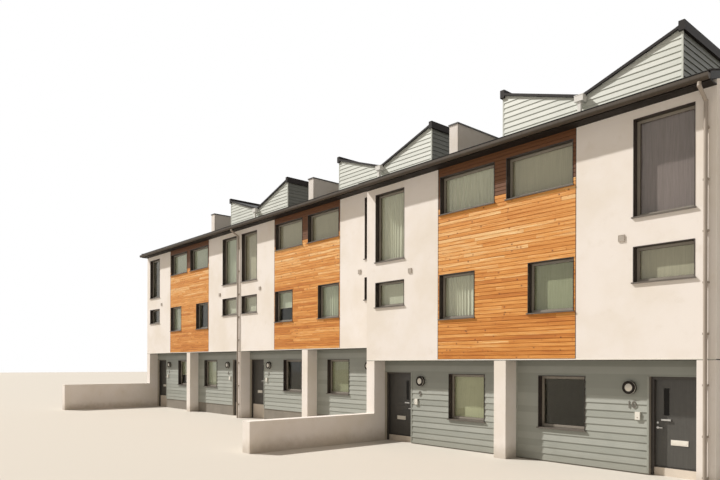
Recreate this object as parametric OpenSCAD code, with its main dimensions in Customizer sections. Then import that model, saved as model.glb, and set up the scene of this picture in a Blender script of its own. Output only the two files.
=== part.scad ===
// Row of six three-storey terraced houses in mirrored pairs, built as two stepped blocks.
// X runs along the row, Y runs from the street front to the rear, Z is up.
// Lines 0 to 6 are the centre lines of the party walls. Each pair shares an odd line.
// Inside a house, c is the distance from the pair's shared line and b from its outer line.

/* [Row] */
// Width of one house, party line to party line
house_w = 4900; // [4600:50:5400]
// Depth of a house, front face to rear face
house_d = 10200; // [9400:100:11000]
// Thickness of a party wall and its fin
party_t = 360; // [280:10:400]
// Thickness of an outer wall with its facing
wall_t = 300; // [240:10:360]
// Thickness of timber boarding on a wall
clad_t = 25; // [18:1:35]
// Height of the boarding's foot above the ground outside
clad_foot = 30; // [20:5:100]
// Distance that the left block stands back
step_back = 1040; // [800:20:1300]
// Height that the left block stands above the right one
step_rise = 440; // [200:20:600]

/* [Storeys] */
// Top of the ground floor above the ground outside
floor_h = 185; // [150:5:190]
// Underside of the upper storeys above the ground
over_z = 2500; // [2400:10:2600]
// Storey height, floor to floor
storey_h = 2710; // [2600:10:2800]
// Thickness of the first and second floors
slab_t = 250; // [180:10:280]
// Top of the attic floor, level with the eaves
attic_z = 7800; // [7760:10:8000]
// Thickness of the attic floor
attic_t = 180; // [120:10:190]
// Depth that the ground storey is set back
recess = 450; // [350:10:600]
// Thickness of the board under the overhang
soffit_t = 23; // [15:1:40]

/* [Facade] */
// Half width of the timber panel about the pair's line
timber_hw = 2110; // [2100:10:2300]
// Inner edge of the top timber window from the pair's line
top_c = 180; // [180:10:220]
// Width of the top timber window
top_w = 1850; // [1500:10:1860]
// Bottom of the top timber window
top_z = 6530; // [6300:10:6600]
// Height of the top timber window
top_h = 1040; // [900:10:1050]
// Inner edge of the lower timber window from the pair's line
mid_c = 820; // [400:10:830]
// Width of the lower timber window
mid_w = 1230; // [1000:10:1240]
// Bottom of the lower timber window
mid_z = 3630; // [3400:10:3800]
// Height of the lower timber window
mid_h = 1230; // [1000:10:1350]
// Edge of the windows in the rendered wall from the outer party line
side_b = 215; // [200:5:300]
// Width of the windows in the rendered wall
side_w = 1250; // [1000:10:1260]
// Bottom of the tall window
tall_z = 5520; // [5500:10:5700]
// Height of the tall window
tall_h = 2080; // [1800:10:2090]
// Bottom of the small window
small_z = 4130; // [4000:10:4200]
// Height of the small window
small_h = 760; // [600:10:850]
// Inner edge of the ground floor window from the pair's line
low_c = 830; // [500:10:900]
// Width of the ground floor window
low_w = 1260; // [1000:10:1300]
// Bottom of the ground floor window
low_z = 840; // [700:10:1000]
// Height of the ground floor window
low_h = 1270; // [1000:10:1300]

/* [Windows] */
// Depth of the reveal in front of a window frame
reveal = 150; // [60:5:160]
// Thickness of the metal lining of a reveal
liner_t = 14; // [8:1:20]
// Distance that the lining stands out from the wall
liner_out = 8; // [4:1:15]
// Depth of a window frame
frame_d = 70; // [50:5:90]
// Face width of a window frame
frame_w = 60; // [40:2:80]
// Thickness of the glass
glass_t = 24; // [12:1:30]
// Thickness of a window sill
sill_t = 28; // [20:1:50]
// Distance that a sill stands out from the wall
sill_out = 45; // [20:5:80]
// Distance that a sill runs past each side of its window
sill_ear = 25; // [10:1:30]
// Width of a rear window
rear_w = 1200; // [900:10:1300]
// Bottom of the top rear windows
rear_top_z = 6340; // [6200:10:6400]
// Edge of the inner rear window from the pair's line
rear_c = 700; // [400:10:800]
// Edge of the outer rear window from the outer party line
rear_b = 700; // [400:10:800]
// Bottom of the attic window above the attic floor
attic_win_z = 1000; // [800:10:1100]
// Height of the attic window
attic_win_h = 1000; // [800:10:1050]

/* [Roof] */
// Pitch of the main roof
roof_pitch = 17.5; // [15:0.5:20]
// Thickness of the main roof, measured upright
roof_t = 150; // [120:5:180]
// Gap between a sloping roof and what carries it
roof_seat = 0.3; // [0.2:0.1:0.5]
// Distance that the eaves stand out from the wall
eaves_out = 325; // [250:5:400]
// Thickness of the eaves boards
eaves_t = 20; // [15:1:25]
// Width of a gutter
gutter_w = 125; // [100:5:150]
// Height of a gutter
gutter_h = 120; // [100:5:150]
// Wall thickness of a gutter
gutter_t = 5; // [3:0.5:8]
// Bottom of a gutter above the eaves
gutter_up = 5; // [0:1:15]
// Length of a gutter's outlet
outlet_h = 70; // [50:5:90]
// Diameter of a downpipe
pipe_d = 75; // [60:1:100]
// Clear space between a downpipe and the wall
pipe_gap = 25; // [15:1:40]
// Drop from the eaves to the lower bend of a downpipe
neck_drop = 270; // [240:10:340]
// Distance that the sockets at the bends stand out from the pipe
socket_out = 4; // [3:0.5:6]
// Width of a downpipe's clips
clip_w = 105; // [90:1:130]
// Height of a downpipe's clips
clip_h = 40; // [25:1:50]
// Height of the clip at a downpipe's foot
clip_foot = 150; // [100:10:300]
// Height of the next clip above the ground outside
clip_first = 960; // [800:10:1000]
// Distance from there up to each further clip
clip_step = 1005; // [800:5:1100]

/* [Roof box] */
// Distance of the box front behind the house front
box_front = 3970; // [3600:10:4200]
// Half width of the box over its boarding
box_hw = 2850; // [2600:10:2900]
// Thickness of a box wall with its boarding
box_wall = 200; // [150:5:250]
// Top of the roof at the valley
valley_z = 10340; // [10200:10:10500]
// Pitch of the two roof slopes that fall to the valley
box_pitch = 18.6; // [16:0.1:21]
// Thickness of the box roof, measured upright
box_roof_t = 80; // [60:5:120]
// Distance that the box roof stands out from its walls
box_over = 60; // [40:5:100]
// Thickness of the board round the edge of the box roof
verge_t = 25; // [18:1:35]
// Height of the boxed eaves along the high edges of the box roof
box_eaves_h = 260; // [220:10:300]
// Distance that the boxed eaves reach in over the wall
box_eaves_in = 100; // [60:5:120]
// Height of the boxed eaves above the roof's edge
box_eaves_up = 65; // [30:5:80]
// Width of the rainwater hopper at the valley
hopper_w = 280; // [220:10:320]
// Height of the hopper
hopper_h = 190; // [150:10:260]
// Depth of the hopper
hopper_d = 170; // [150:10:200]
// Wall thickness of the hopper and its pipe
hopper_t = 8; // [3:0.5:12]
// Side of the hopper's square pipe
spout_w = 100; // [80:5:120]
// Clear space between the hopper's pipe and the main roof
spout_gap = 30; // [20:5:50]
// Drop from the valley to the hopper's rim
hopper_drop = 50; // [30:5:60]
// Top of the rendered upstand on an outer party line
upstand_z = 10830; // [10500:10:11000]
// Thickness of a party upstand
upstand_t = 380; // [300:10:420]
// Length of a party upstand
upstand_l = 2400; // [2000:50:2600]
// Thickness of the coping on an upstand
coping_t = 45; // [30:1:70]
// Distance that the coping stands out
coping_out = 30; // [15:1:50]

/* [Doors] */
// Width of the door opening beside the party wall
door_w = 1140; // [1000:10:1200]
// Top of the door frame above the ground outside
door_top = 2130; // [2080:10:2200]
// Height of the doorstep above the ground outside
step_h = 175; // [140:5:180]
// Distance that the doorstep stands out from the door stop
step_out = 20; // [5:5:60]
// Width of the door frame's members
jamb_w = 50; // [40:1:60]
// Width of the stop round the door
stop_w = 15; // [12:1:20]
// Depth of the stop
stop_d = 75; // [30:1:80]
// Depth of the door frame behind the face of the boarding
door_in = 100; // [30:5:105]
// Thickness of a door leaf
leaf_t = 50; // [40:1:60]
// Running gap round a door leaf
leaf_gap = 8; // [7:0.5:10]
// Gap for the seal between the stop and the leaf
seal_gap = 6; // [5:0.5:8]
// Height of the threshold bar on the doorstep
sill_bar = 20; // [10:1:24]
// Distance of the hinge pin behind the leaf
pin_back = 9; // [8:0.5:12]
// Diameter of a hinge knuckle
knuckle_d = 14; // [10:1:16]
// Length of one of a hinge's two knuckles
knuckle_h = 45; // [30:1:60]
// Running gap between the two knuckles
knuckle_gap = 0.3; // [0.2:0.1:0.5]
// Thickness of a hinge plate
plate_t = 3; // [2:0.5:5]
// Width of a hinge plate
plate_w = 30; // [20:1:35]
// Height of the lever handle above the leaf's foot
lever_z = 825; // [780:5:900]
// Distance of the lever's spindle from the leaf's free edge
lever_in = 55; // [50:1:70]
// Length of the lever
lever_l = 115; // [100:5:140]
// Distance that the lever stands out from the leaf
lever_out = 50; // [40:1:60]
// Thickness of the lever
lever_t = 14; // [10:1:18]
// Height of the lever's section
lever_h = 18; // [12:1:24]
// Diameter of the lever's spindle
spindle_d = 20; // [16:1:24]
// Diameter of a handle rose
rose_d = 54; // [48:1:60]
// Thickness of a handle rose
rose_t = 10; // [6:1:12]
// Diameter of the lock cylinder's rose
lock_d = 44; // [38:1:50]
// Height of the lock cylinder above the lever
lock_up = 105; // [85:5:130]
// Width of the vision slot
slot_w = 130; // [90:5:140]
// Height of the vision slot
slot_h = 600; // [450:10:650]
// Bottom of the vision slot above the leaf's foot
slot_z = 1085; // [1060:5:1120]
// Distance of the vision slot from the leaf's free edge
slot_in = 175; // [150:5:250]
// Width of the bar under the vision slot
bar_w = 200; // [150:5:220]
// Height of the bar under the vision slot
bar_h = 45; // [30:1:55]
// Distance that the bar stands out from the leaf
bar_out = 40; // [25:1:45]
// Drop from the vision slot to the top of the bar
bar_drop = 60; // [40:5:70]
// Width of the letter plate
letter_w = 350; // [260:10:360]
// Height of the letter plate
letter_h = 110; // [70:5:120]
// Thickness of the letter plate
letter_t = 12; // [6:1:16]
// Height of the letter plate's middle above the leaf's foot
letter_z = 525; // [480:5:600]

/* [Fittings] */
// Diameter of the round door lamp
lamp_d = 300; // [240:10:320]
// Depth of the door lamp
lamp_depth = 95; // [70:5:120]
// Distance of the lamp from the outer party line
lamp_b = 1740; // [1650:10:1900]
// Height of the lamp above the ground outside
lamp_z = 1880; // [1700:10:2000]
// Width of the bell box
bell_w = 110; // [80:5:140]
// Height of the bell box
bell_h = 170; // [120:5:200]
// Distance of the bell box from the outer party line
bell_b = 1560; // [1500:10:1700]
// Height of the bell box above the ground outside
bell_z = 1265; // [1150:5:1350]
// Depth of the bell box
bell_t = 35; // [25:1:45]
// Side of the square wall vent
vent_w = 140; // [100:5:180]
// Depth of the wall vent
vent_t = 20; // [12:1:30]
// Distance of the vent from the outer party line
vent_b = 1715; // [1600:5:1850]
// Height of the vent above the ground outside
vent_z = 5110; // [5000:10:5300]

/* [Garden walls] */
// Length of a garden wall in front of its fin
garden_l = 4450; // [3500:50:5000]
// Height of a garden wall above its own ground
garden_h = 850; // [700:10:1000]

/* [Hidden] */
$fn = 48;
houses = 6;
step_line = 4;
half_party = party_t / 2;
row_half = houses / 2 * house_w + half_party;
second_floor_z = over_z + slab_t + storey_h;
ground_in = recess + wall_t;
rear_in = house_d - wall_t;
roof_slope = tan(roof_pitch);
box_slope = tan(box_pitch);
// Height of the roof's underside above the eaves at the wall face, clear of the eaves boards
heel = eaves_t + eaves_out * roof_slope + roof_seat;
roof_edge = box_hw + box_over;
box_y = box_front - box_over;
box_in = box_front + box_wall;
box_eaves_c = box_hw - box_eaves_in;
y_front = -garden_l;
y_rear = step_back + house_d + eaves_out + gutter_w;
y_mid = (y_front + y_rear) / 2;
door_c = house_w - half_party - door_w;
leaf_w = door_w - 2 * jamb_w - 2 * leaf_gap;
leaf_z = step_h + sill_bar + leaf_gap;
leaf_h = door_top - jamb_w - leaf_gap - leaf_z;
leaf_y = recess + door_in + stop_d + seal_gap;
pin_b = half_party + jamb_w + leaf_gap / 2;
pin_y = leaf_y + leaf_t + pin_back;
pipe_y = pipe_gap + pipe_d / 2;
gutter_z = attic_z + gutter_up;
rear_eaves_y = house_d + eaves_out;
// Foot of a downpipe's upper bend
neck_foot = attic_z - neck_drop;
clip_heights = concat(clip_foot, [for (z = [clip_first:clip_step:neck_foot - 2 * clip_h]) z]);
// A level below all of the main roofs
roof_low = attic_z - storey_h;
// Distance that a cutting shape runs past the faces it cuts
cut_over = 10;
// Overlap of two drawn shapes that form one outline
join_over = 0.01;

function line_x(n) = (n - houses / 2) * house_w;
function pair_line(h) = 2 * floor((h - 1) / 2) + 1;
function block_of(h) = h <= step_line ? 0 : 1;
function first_line(block) = block == 0 ? 0 : step_line;
function last_line(block) = block == 0 ? step_line : houses;
function back(block) = block == 0 ? step_back : 0;
function rise(block) = block == 0 ? step_rise : 0;
function roof_under(y) = attic_z + heel + min(y, house_d - y) * roof_slope;
function roof_over(y) = roof_under(y) + roof_t;
function wall_top(y) = roof_under(y) - roof_seat;
function left_wall_top(y) = step_rise + wall_top(y - step_back);
function box_top(c) = valley_z + abs(c) * box_slope;
function box_under(c) = box_top(c) - box_roof_t;
function box_wall_top(c) = box_under(c) - roof_seat;
// Underside of the boxed eaves
box_eaves_z = box_top(roof_edge) + box_eaves_up - box_eaves_h;

// Window openings as [near edge, far edge, bottom, top], with edges as c
function at_c(c, w, z, h) = [c, c + w, z, z + h];
function at_b(b, w, z, h) = [house_w - b - w, house_w - b, z, z + h];
timber_windows = [at_c(top_c, top_w, top_z, top_h), at_c(mid_c, mid_w, mid_z, mid_h)];
render_windows = [
    at_b(side_b, side_w, tall_z, tall_h),
    at_b(side_b, side_w, small_z, small_h)
];
ground_windows = [at_c(low_c, low_w, low_z, low_h)];
attic_windows = [at_c(rear_c, rear_w, attic_z + attic_win_z, attic_win_h)];
rear_levels = [[low_z, low_h], [mid_z, mid_h], [rear_top_z, mid_h]];
inner_rear = [for (s = rear_levels) at_c(rear_c, rear_w, s[0], s[1])];
outer_rear = [for (s = rear_levels) at_b(rear_b, rear_w, s[0], s[1])];
rear_windows = concat(inner_rear, outer_rear);
// Rear windows in boarding, and those in plain wall
boarded_rear = concat(inner_rear, [outer_rear[0]]);
plain_rear = concat([outer_rear[1], outer_rear[2]], attic_windows);

// Placing
module at_block(block) translate([0, back(block) - y_mid, rise(block)]) children();
module at_house(h)
    at_block(block_of(h)) translate([line_x(pair_line(h)), 0, 0]) mirror([h % 2, 0, 0]) children();
module at_pair(p) at_block(block_of(2 * p + 1)) translate([line_x(2 * p + 1), 0, 0]) children();
module slab(x0, x1, y0, y1, z0, z1) translate([x0, y0, z0]) cube([x1 - x0, y1 - y0, z1 - z0]);
// A drawing in Y and Z carried along X
module along_x(x0, x1) translate([x0, 0, 0]) rotate([90, 0, 90]) linear_extrude(x1 - x0) children();
// A drawing in X and Z carried along Y
module along_y(y0, y1) translate([0, y1, 0]) rotate([90, 0, 0]) linear_extrude(y1 - y0) children();
// Turned to the rear face, with Y running inward from it
module from_rear() translate([0, house_d, 0]) mirror([0, 1, 0]) children();
module both_sides() {
    children();
    mirror([1, 0, 0]) children();
}
// Holes through a front wall, from the face back to y1
module holes(windows, y0, y1)
    for (w = windows) slab(w[0], w[1], y0 - cut_over, y1 + cut_over, w[2] - sill_t, w[3]);

// Floors
module house_floor(h, y0, z0, z1)
    at_house(h) slab(half_party, house_w - half_party, y0, rear_in, z0, z1);
module ground_floors() color("gainsboro")
    for (h = [1:houses]) house_floor(h, ground_in, -rise(block_of(h)), floor_h);
module first_floors() color("burlywood")
    for (h = [1:houses]) house_floor(h, wall_t, over_z, over_z + slab_t);
module second_floors() color("burlywood")
    for (h = [1:houses]) house_floor(h, wall_t, second_floor_z - slab_t, second_floor_z);
module attic_floors() color("burlywood")
    for (h = [1:houses]) house_floor(h, wall_t, attic_z - attic_t, attic_z);

// Party walls
module party_front(foot) polygon([
    [recess, foot], [recess, over_z], [wall_t, over_z],
    [wall_t, wall_top(wall_t)], [box_front, wall_top(box_front)], [box_front, foot]
]);
// Wall on an outer line, up to the main roof
module outer_party(foot) {
    party_front(foot);
    polygon([
        [box_front, foot], [box_front, wall_top(box_front)],
        [house_d / 2, wall_top(house_d / 2)], [rear_in, wall_top(rear_in)], [rear_in, foot]
    ]);
}
// Wall on a pair's shared line, up to the valley of the roof box
shared_top = box_wall_top(half_party);
module shared_party(foot) {
    party_front(foot);
    polygon([
        [box_front, foot], [box_front, attic_z], [box_in, attic_z],
        [box_in, shared_top], [rear_in, shared_top], [rear_in, foot]
    ]);
}
// Wall between the blocks, under the right roof in front and the left roof behind
left_roof_from = step_back + wall_t;
left_ridge = step_back + house_d / 2;
left_rear_in = step_back + rear_in;
module step_party() polygon([
    [recess, 0], [recess, over_z], [wall_t, over_z], [wall_t, wall_top(wall_t)],
    [left_roof_from, wall_top(left_roof_from)], [left_roof_from, left_wall_top(left_roof_from)],
    [left_ridge, left_wall_top(left_ridge)], [left_rear_in, left_wall_top(left_rear_in)],
    [left_rear_in, 0]
]);
module party_walls() color("lightgray") {
    for (n = [0, 2]) at_block(0) translate([line_x(n), 0, 0])
        along_x(-half_party, half_party) outer_party(-step_rise);
    at_block(1) translate([line_x(houses), 0, 0])
        along_x(-half_party, half_party) outer_party(0);
    at_block(1) translate([line_x(step_line), 0, 0])
        along_x(-half_party, half_party) step_party();
    for (p = [0:2]) at_pair(p) difference() {
        along_x(-half_party, half_party) shared_party(-rise(block_of(2 * p + 1)));
        over_box_walls();
    }
}
module party_fins() color("antiquewhite")
    for (n = [0:houses]) {
        block = n < step_line ? 0 : 1;
        at_block(block) translate([line_x(n), 0, 0])
            slab(-half_party, half_party, 0, recess, -rise(block), over_z - soffit_t);
    }

// Ground storey front
module ground_front_walls() color("darkseagreen")
    for (h = [1:houses]) at_house(h) difference() {
        slab(half_party, door_c, recess + clad_t, ground_in, -rise(block_of(h)), over_z);
        holes(ground_windows, recess, ground_in);
    }
module door_head_walls() color("darkseagreen")
    for (h = [1:houses]) at_house(h)
        slab(door_c, house_w - half_party, recess + clad_t, ground_in, door_top, over_z);
module ground_cladding() color("lightslategray")
    for (h = [1:houses]) at_house(h) {
        difference() {
            slab(half_party, house_w - half_party, recess, recess + clad_t, clad_foot, over_z);
            holes(ground_windows, recess, recess + clad_t);
            slab(door_c, house_w, recess - cut_over, ground_in, 0, door_top);
        }
        from_rear() difference() {
            slab(half_party, house_w - half_party, -clad_t, 0, clad_foot, over_z);
            holes(rear_windows, -clad_t, 0);
        }
    }
module overhang_soffits() color("dimgray")
    for (block = [0, 1]) at_block(block)
        slab(line_x(first_line(block)) - half_party,
            line_x(last_line(block)) + (block == 0 ? -half_party : half_party),
            0, recess, over_z - soffit_t, over_z);

// Upper front
module upper_wall(x0, x1, y0) along_x(x0, x1) polygon([
    [y0, over_z], [wall_t, over_z], [wall_t, wall_top(wall_t)], [y0, wall_top(y0)]
]);
// The half of a rendered wall that belongs to one house
module render_half(h) at_house(h) difference() {
    upper_wall(timber_hw, house_w + (h == step_line ? -half_party : 0), 0);
    holes(render_windows, 0, wall_t);
}
// The end of a rendered wall over the outer half of a party wall
module render_end(n, block, x0, x1)
    at_block(block) translate([line_x(n), 0, 0]) upper_wall(x0, x1, 0);
module render_walls() color("antiquewhite") {
    for (h = [1:houses]) render_half(h);
    render_end(0, 0, -half_party, 0);
    render_end(step_line, 1, -half_party, 0);
    render_end(houses, 1, 0, half_party);
}
module timber_walls() color("tan")
    for (p = [0:2]) at_pair(p) difference() {
        upper_wall(-timber_hw, timber_hw, clad_t);
        both_sides() holes(timber_windows, 0, wall_t);
    }
// The rear panels stand on the face of the rear wall, under the eaves
module larch_cladding() color("peru")
    for (p = [0:2]) at_pair(p) {
        difference() {
            slab(-timber_hw, timber_hw, 0, clad_t, over_z, wall_top(0));
            both_sides() holes(timber_windows, 0, clad_t);
        }
        from_rear() difference() {
            slab(-timber_hw, timber_hw, -clad_t, 0, over_z, attic_z);
            both_sides() holes(rear_windows, -clad_t, 0);
        }
    }

// Rear
module rear_walls() color("antiquewhite")
    for (block = [0, 1]) difference() {
        at_block(block) along_x(
            line_x(first_line(block)) + (block == 0 ? -half_party : half_party),
            line_x(last_line(block)) + half_party
        ) polygon([
            [rear_in, -rise(block)], [house_d, -rise(block)],
            [house_d, wall_top(house_d)], [rear_in, wall_top(rear_in)]
        ]);
        for (h = [first_line(block) + 1:last_line(block)]) at_house(h) {
            holes(rear_windows, rear_in, house_d);
            slab(-cut_over, box_hw, rear_in - cut_over, house_d + cut_over, attic_z, roof_over(rear_in));
        }
    }

// Roof box
module box_roof_prism(y0, y1) along_y(y0, y1) polygon([
    [-roof_edge, box_under(roof_edge)], [0, box_under(0)], [roof_edge, box_under(roof_edge)],
    [roof_edge, box_top(roof_edge)], [0, box_top(0)], [-roof_edge, box_top(roof_edge)]
]);
// The space over the walls that carry the box roof
module over_box_walls() along_y(box_front, house_d) polygon([
    [-box_hw, box_wall_top(box_hw)], [0, box_wall_top(0)], [box_hw, box_wall_top(box_hw)],
    [box_hw, box_top(box_hw)], [-box_hw, box_top(box_hw)]
]);
// All the space under the box roof and its boxed eaves, out to hw on each side of the valley
module under_box_roof(hw, y0, y1) along_y(y0, y1) polygon([
    [-hw, attic_z], [hw, attic_z], [hw, box_eaves_z], [box_eaves_c, box_eaves_z],
    [box_eaves_c, box_wall_top(box_eaves_c)], [0, box_wall_top(0)],
    [-box_eaves_c, box_wall_top(box_eaves_c)], [-box_eaves_c, box_eaves_z], [-hw, box_eaves_z]
]);
module box_cladding() color("slategray")
    for (p = [0:2]) at_pair(p) difference() {
        under_box_roof(box_hw, box_front, house_d);
        slab(-box_hw + clad_t, box_hw - clad_t, box_front + clad_t, house_d - clad_t,
            attic_z - cut_over, box_top(box_hw));
        both_sides() holes(attic_windows, rear_in, house_d);
    }
module box_front_walls() color("darkseagreen")
    for (p = [0:2]) at_pair(p)
        under_box_roof(box_hw - clad_t, box_front + clad_t, box_in);
module box_rear_walls() color("darkseagreen")
    for (p = [0:2]) at_pair(p) difference() {
        under_box_roof(box_hw - clad_t, rear_in, house_d - clad_t);
        both_sides() holes(attic_windows, rear_in, house_d);
    }
module box_side_walls() color("darkseagreen")
    for (p = [0:2]) at_pair(p) difference() {
        under_box_roof(box_hw - clad_t, box_in, rear_in);
        slab(-box_hw + box_wall, box_hw - box_wall, box_in - cut_over, rear_in + cut_over,
            attic_z - cut_over, box_top(box_hw));
    }
// The space inside the boards at the ends of the box roof and the boxed eaves along its sides
module inside_verge() slab(-box_eaves_c, box_eaves_c, box_y + verge_t,
    house_d + box_over - verge_t, attic_z, box_top(roof_edge) + cut_over);
module box_eaves_side() slab(box_eaves_c, roof_edge, box_y, house_d + box_over,
    box_eaves_z, box_eaves_z + box_eaves_h);
module box_roofs() color("darkslategray")
    for (p = [0:2]) at_pair(p) intersection() {
        box_roof_prism(box_y, house_d + box_over);
        inside_verge();
    }
module box_fascias() color("black")
    for (p = [0:2]) at_pair(p) {
        difference() {
            box_roof_prism(box_y, house_d + box_over);
            inside_verge();
        }
        both_sides() box_eaves_side();
    }
hopper_top = valley_z - hopper_drop;
hopper_foot = hopper_top - hopper_h;
hopper_y = box_y - hopper_d / 2;
spout_z = roof_over(hopper_y) + spout_gap;
// The hopper's back rests on the boarding under the edge of the box roof
hopper_seat = box_under(0) - roof_seat;
module valley_hoppers() color("silver")
    for (p = [0:2]) at_pair(p) difference() {
        union() {
            slab(-hopper_w / 2, hopper_w / 2, box_y - hopper_d, box_y, hopper_foot, hopper_top);
            slab(-hopper_w / 2, hopper_w / 2, box_y, box_front, hopper_foot, hopper_seat);
            square_pipe(spout_w, spout_z, hopper_foot);
        }
        slab(-hopper_w / 2 + hopper_t, hopper_w / 2 - hopper_t, box_y - hopper_d + hopper_t,
            box_y - hopper_t, hopper_foot + hopper_t, hopper_top + cut_over);
        square_pipe(spout_w - 2 * hopper_t, spout_z - cut_over, hopper_top);
    }
module square_pipe(w, z0, z1) translate([0, hopper_y, 0]) slab(-w / 2, w / 2, -w / 2, w / 2, z0, z1);

// Main roof, with the place of each roof box cut out
module roof_prism(x0, x1) along_x(x0, x1) polygon([
    [-eaves_out + eaves_t, roof_under(-eaves_out + eaves_t)], [house_d / 2, roof_under(house_d / 2)],
    [house_d + eaves_out - eaves_t, roof_under(-eaves_out + eaves_t)],
    [house_d + eaves_out - eaves_t, roof_over(-eaves_out + eaves_t)],
    [house_d / 2, roof_over(house_d / 2)], [-eaves_out + eaves_t, roof_over(-eaves_out + eaves_t)]
]);
step_x = line_x(step_line);
module main_roofs() color("darkslategray") {
    difference() {
        at_block(0) roof_prism(-row_half, step_x + half_party);
        for (p = [0, 1]) roof_cut(p);
        at_block(0) slab(step_x - half_party, step_x + party_t, -eaves_out, wall_t, roof_low, upstand_z);
    }
    difference() {
        at_block(1) roof_prism(step_x - half_party, row_half);
        roof_cut(2);
        at_block(1) slab(step_x - party_t, step_x + half_party, left_roof_from,
            rear_eaves_y + cut_over, roof_low, upstand_z);
    }
}
module roof_cut(p) at_pair(p)
    slab(-box_hw, box_hw, box_front, rear_eaves_y + cut_over, roof_low, upstand_z);
// Everything under the top of the main roof
module under_roof(x0, x1) along_x(x0, x1) translate([0, roof_seat]) polygon([
    [-eaves_out, roof_low], [rear_eaves_y, roof_low], [rear_eaves_y, roof_over(rear_eaves_y)],
    [house_d / 2, roof_over(house_d / 2)], [-eaves_out, roof_over(-eaves_out)]
]);
module party_upstands() color("antiquewhite")
    for (n = [0:2:houses]) upstand_place(n) difference() {
        slab(-upstand_t / 2, upstand_t / 2, box_y, box_y + upstand_l, attic_z + step_rise, upstand_z);
        translate([0, n == step_line ? step_back : 0, n == step_line ? step_rise : 0])
            under_roof(-upstand_t, upstand_t);
    }
// An upstand at an end of the row keeps its coping flush with the end wall
upstand_in = upstand_t / 2 + coping_out - half_party;
module upstand_place(n) at_block(n < step_line ? 0 : 1)
    translate([line_x(n) + (n == 0 ? 1 : n == houses ? -1 : 0) * upstand_in, 0, 0]) children();
module upstand_copings() color("dimgray")
    for (n = [0:2:houses]) upstand_place(n)
        slab(-upstand_t / 2 - coping_out, upstand_t / 2 + coping_out, box_y - coping_out,
            box_y + upstand_l + coping_out, upstand_z, upstand_z + coping_t);

// Eaves, gutters and downpipes
// Board under the eaves and upright board behind the gutter, flush with the roof's edge
module eaves_profile() polygon([
    [-eaves_out, attic_z], [0, attic_z], [0, attic_z + eaves_t],
    [-eaves_out + eaves_t, attic_z + eaves_t], [-eaves_out + eaves_t, roof_over(-eaves_out)],
    [-eaves_out, roof_over(-eaves_out)]
]);
module gutter_profile() translate([-eaves_out - gutter_w / 2, gutter_z + gutter_h]) difference() {
    half_trough(gutter_w / 2, gutter_h);
    translate([0, cut_over]) half_trough(gutter_w / 2 - gutter_t, gutter_h - gutter_t + cut_over);
}
module half_trough(r, h) {
    translate([-r, -h + r]) square([2 * r, h - r]);
    intersection() {
        translate([0, -h + r]) circle(r);
        translate([-r, -h]) square([2 * r, r + join_over]);
    }
}
// Runs of the eaves in one block, as [front or rear, from, to] along the row
function runs(block) = block == 0
    ? [[0, -row_half, step_x - half_party], [1, -row_half, line_x(1) - box_hw],
       [1, line_x(1) + box_hw, line_x(3) - box_hw], [1, line_x(3) + box_hw, step_x + half_party]]
    : [[0, step_x - half_party, row_half], [1, step_x + half_party, line_x(5) - box_hw],
       [1, line_x(5) + box_hw, row_half]];
module eaves_run() for (block = [0, 1]) at_block(block) for (r = runs(block))
    if (r[0] == 0) along_x(r[1], r[2]) children();
    else translate([0, house_d, 0]) mirror([0, 1, 0]) along_x(r[1], r[2]) children();
module eaves_boards() color("black") eaves_run() eaves_profile();
module gutters() color("silver") eaves_run() gutter_profile();
// Outlet, two bends and the straight pipe down the wall, with its clips
module pipe(foot) {
    neck_run = eaves_out + gutter_w / 2 - pipe_y;
    neck_top = gutter_z - outlet_h;
    neck_h = neck_top - neck_foot;
    translate([0, -pipe_y, foot]) cylinder(d = pipe_d, h = neck_foot - foot);
    translate([0, -pipe_y, neck_foot]) sphere(pipe_d / 2 + socket_out);
    translate([0, -pipe_y, neck_foot]) rotate([atan2(neck_run, neck_h), 0, 0])
        cylinder(d = pipe_d, h = norm([neck_run, neck_h]));
    translate([0, -pipe_y - neck_run, neck_top]) sphere(pipe_d / 2 + socket_out);
    translate([0, -pipe_y - neck_run, neck_top]) cylinder(d = pipe_d, h = outlet_h);
    for (z = clip_heights) slab(-clip_w / 2, clip_w / 2, -pipe_y, 0, z, z + clip_h);
}
module downpipes() color("silver") {
    at_block(0) translate([line_x(2), 0, 0]) pipe(-step_rise);
    at_block(1) translate([line_x(houses), 0, 0]) pipe(0);
    at_block(0) translate([line_x(2), house_d, 0]) mirror([0, 1, 0]) pipe(-step_rise);
    at_block(1) translate([line_x(houses), house_d, 0]) mirror([0, 1, 0]) pipe(0);
}

// Windows
module frame_ring(w, y) difference() {
    slab(w[0], w[1], y, y + frame_d, w[2], w[3]);
    slab(w[0] + frame_w, w[1] - frame_w, y - cut_over, y + frame_d + cut_over,
        w[2] + frame_w, w[3] - frame_w);
}
module pane(w, y) slab(w[0] + frame_w, w[1] - frame_w, y + (frame_d - glass_t) / 2,
    y + (frame_d + glass_t) / 2, w[2] + frame_w, w[3] - frame_w);
module sill(w, y) {
    slab(w[0], w[1], y, y + reveal + frame_d, w[2] - sill_t, w[2]);
    slab(w[0] - sill_ear, w[1] + sill_ear, y - sill_out, y, w[2] - sill_t, w[2]);
}
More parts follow.
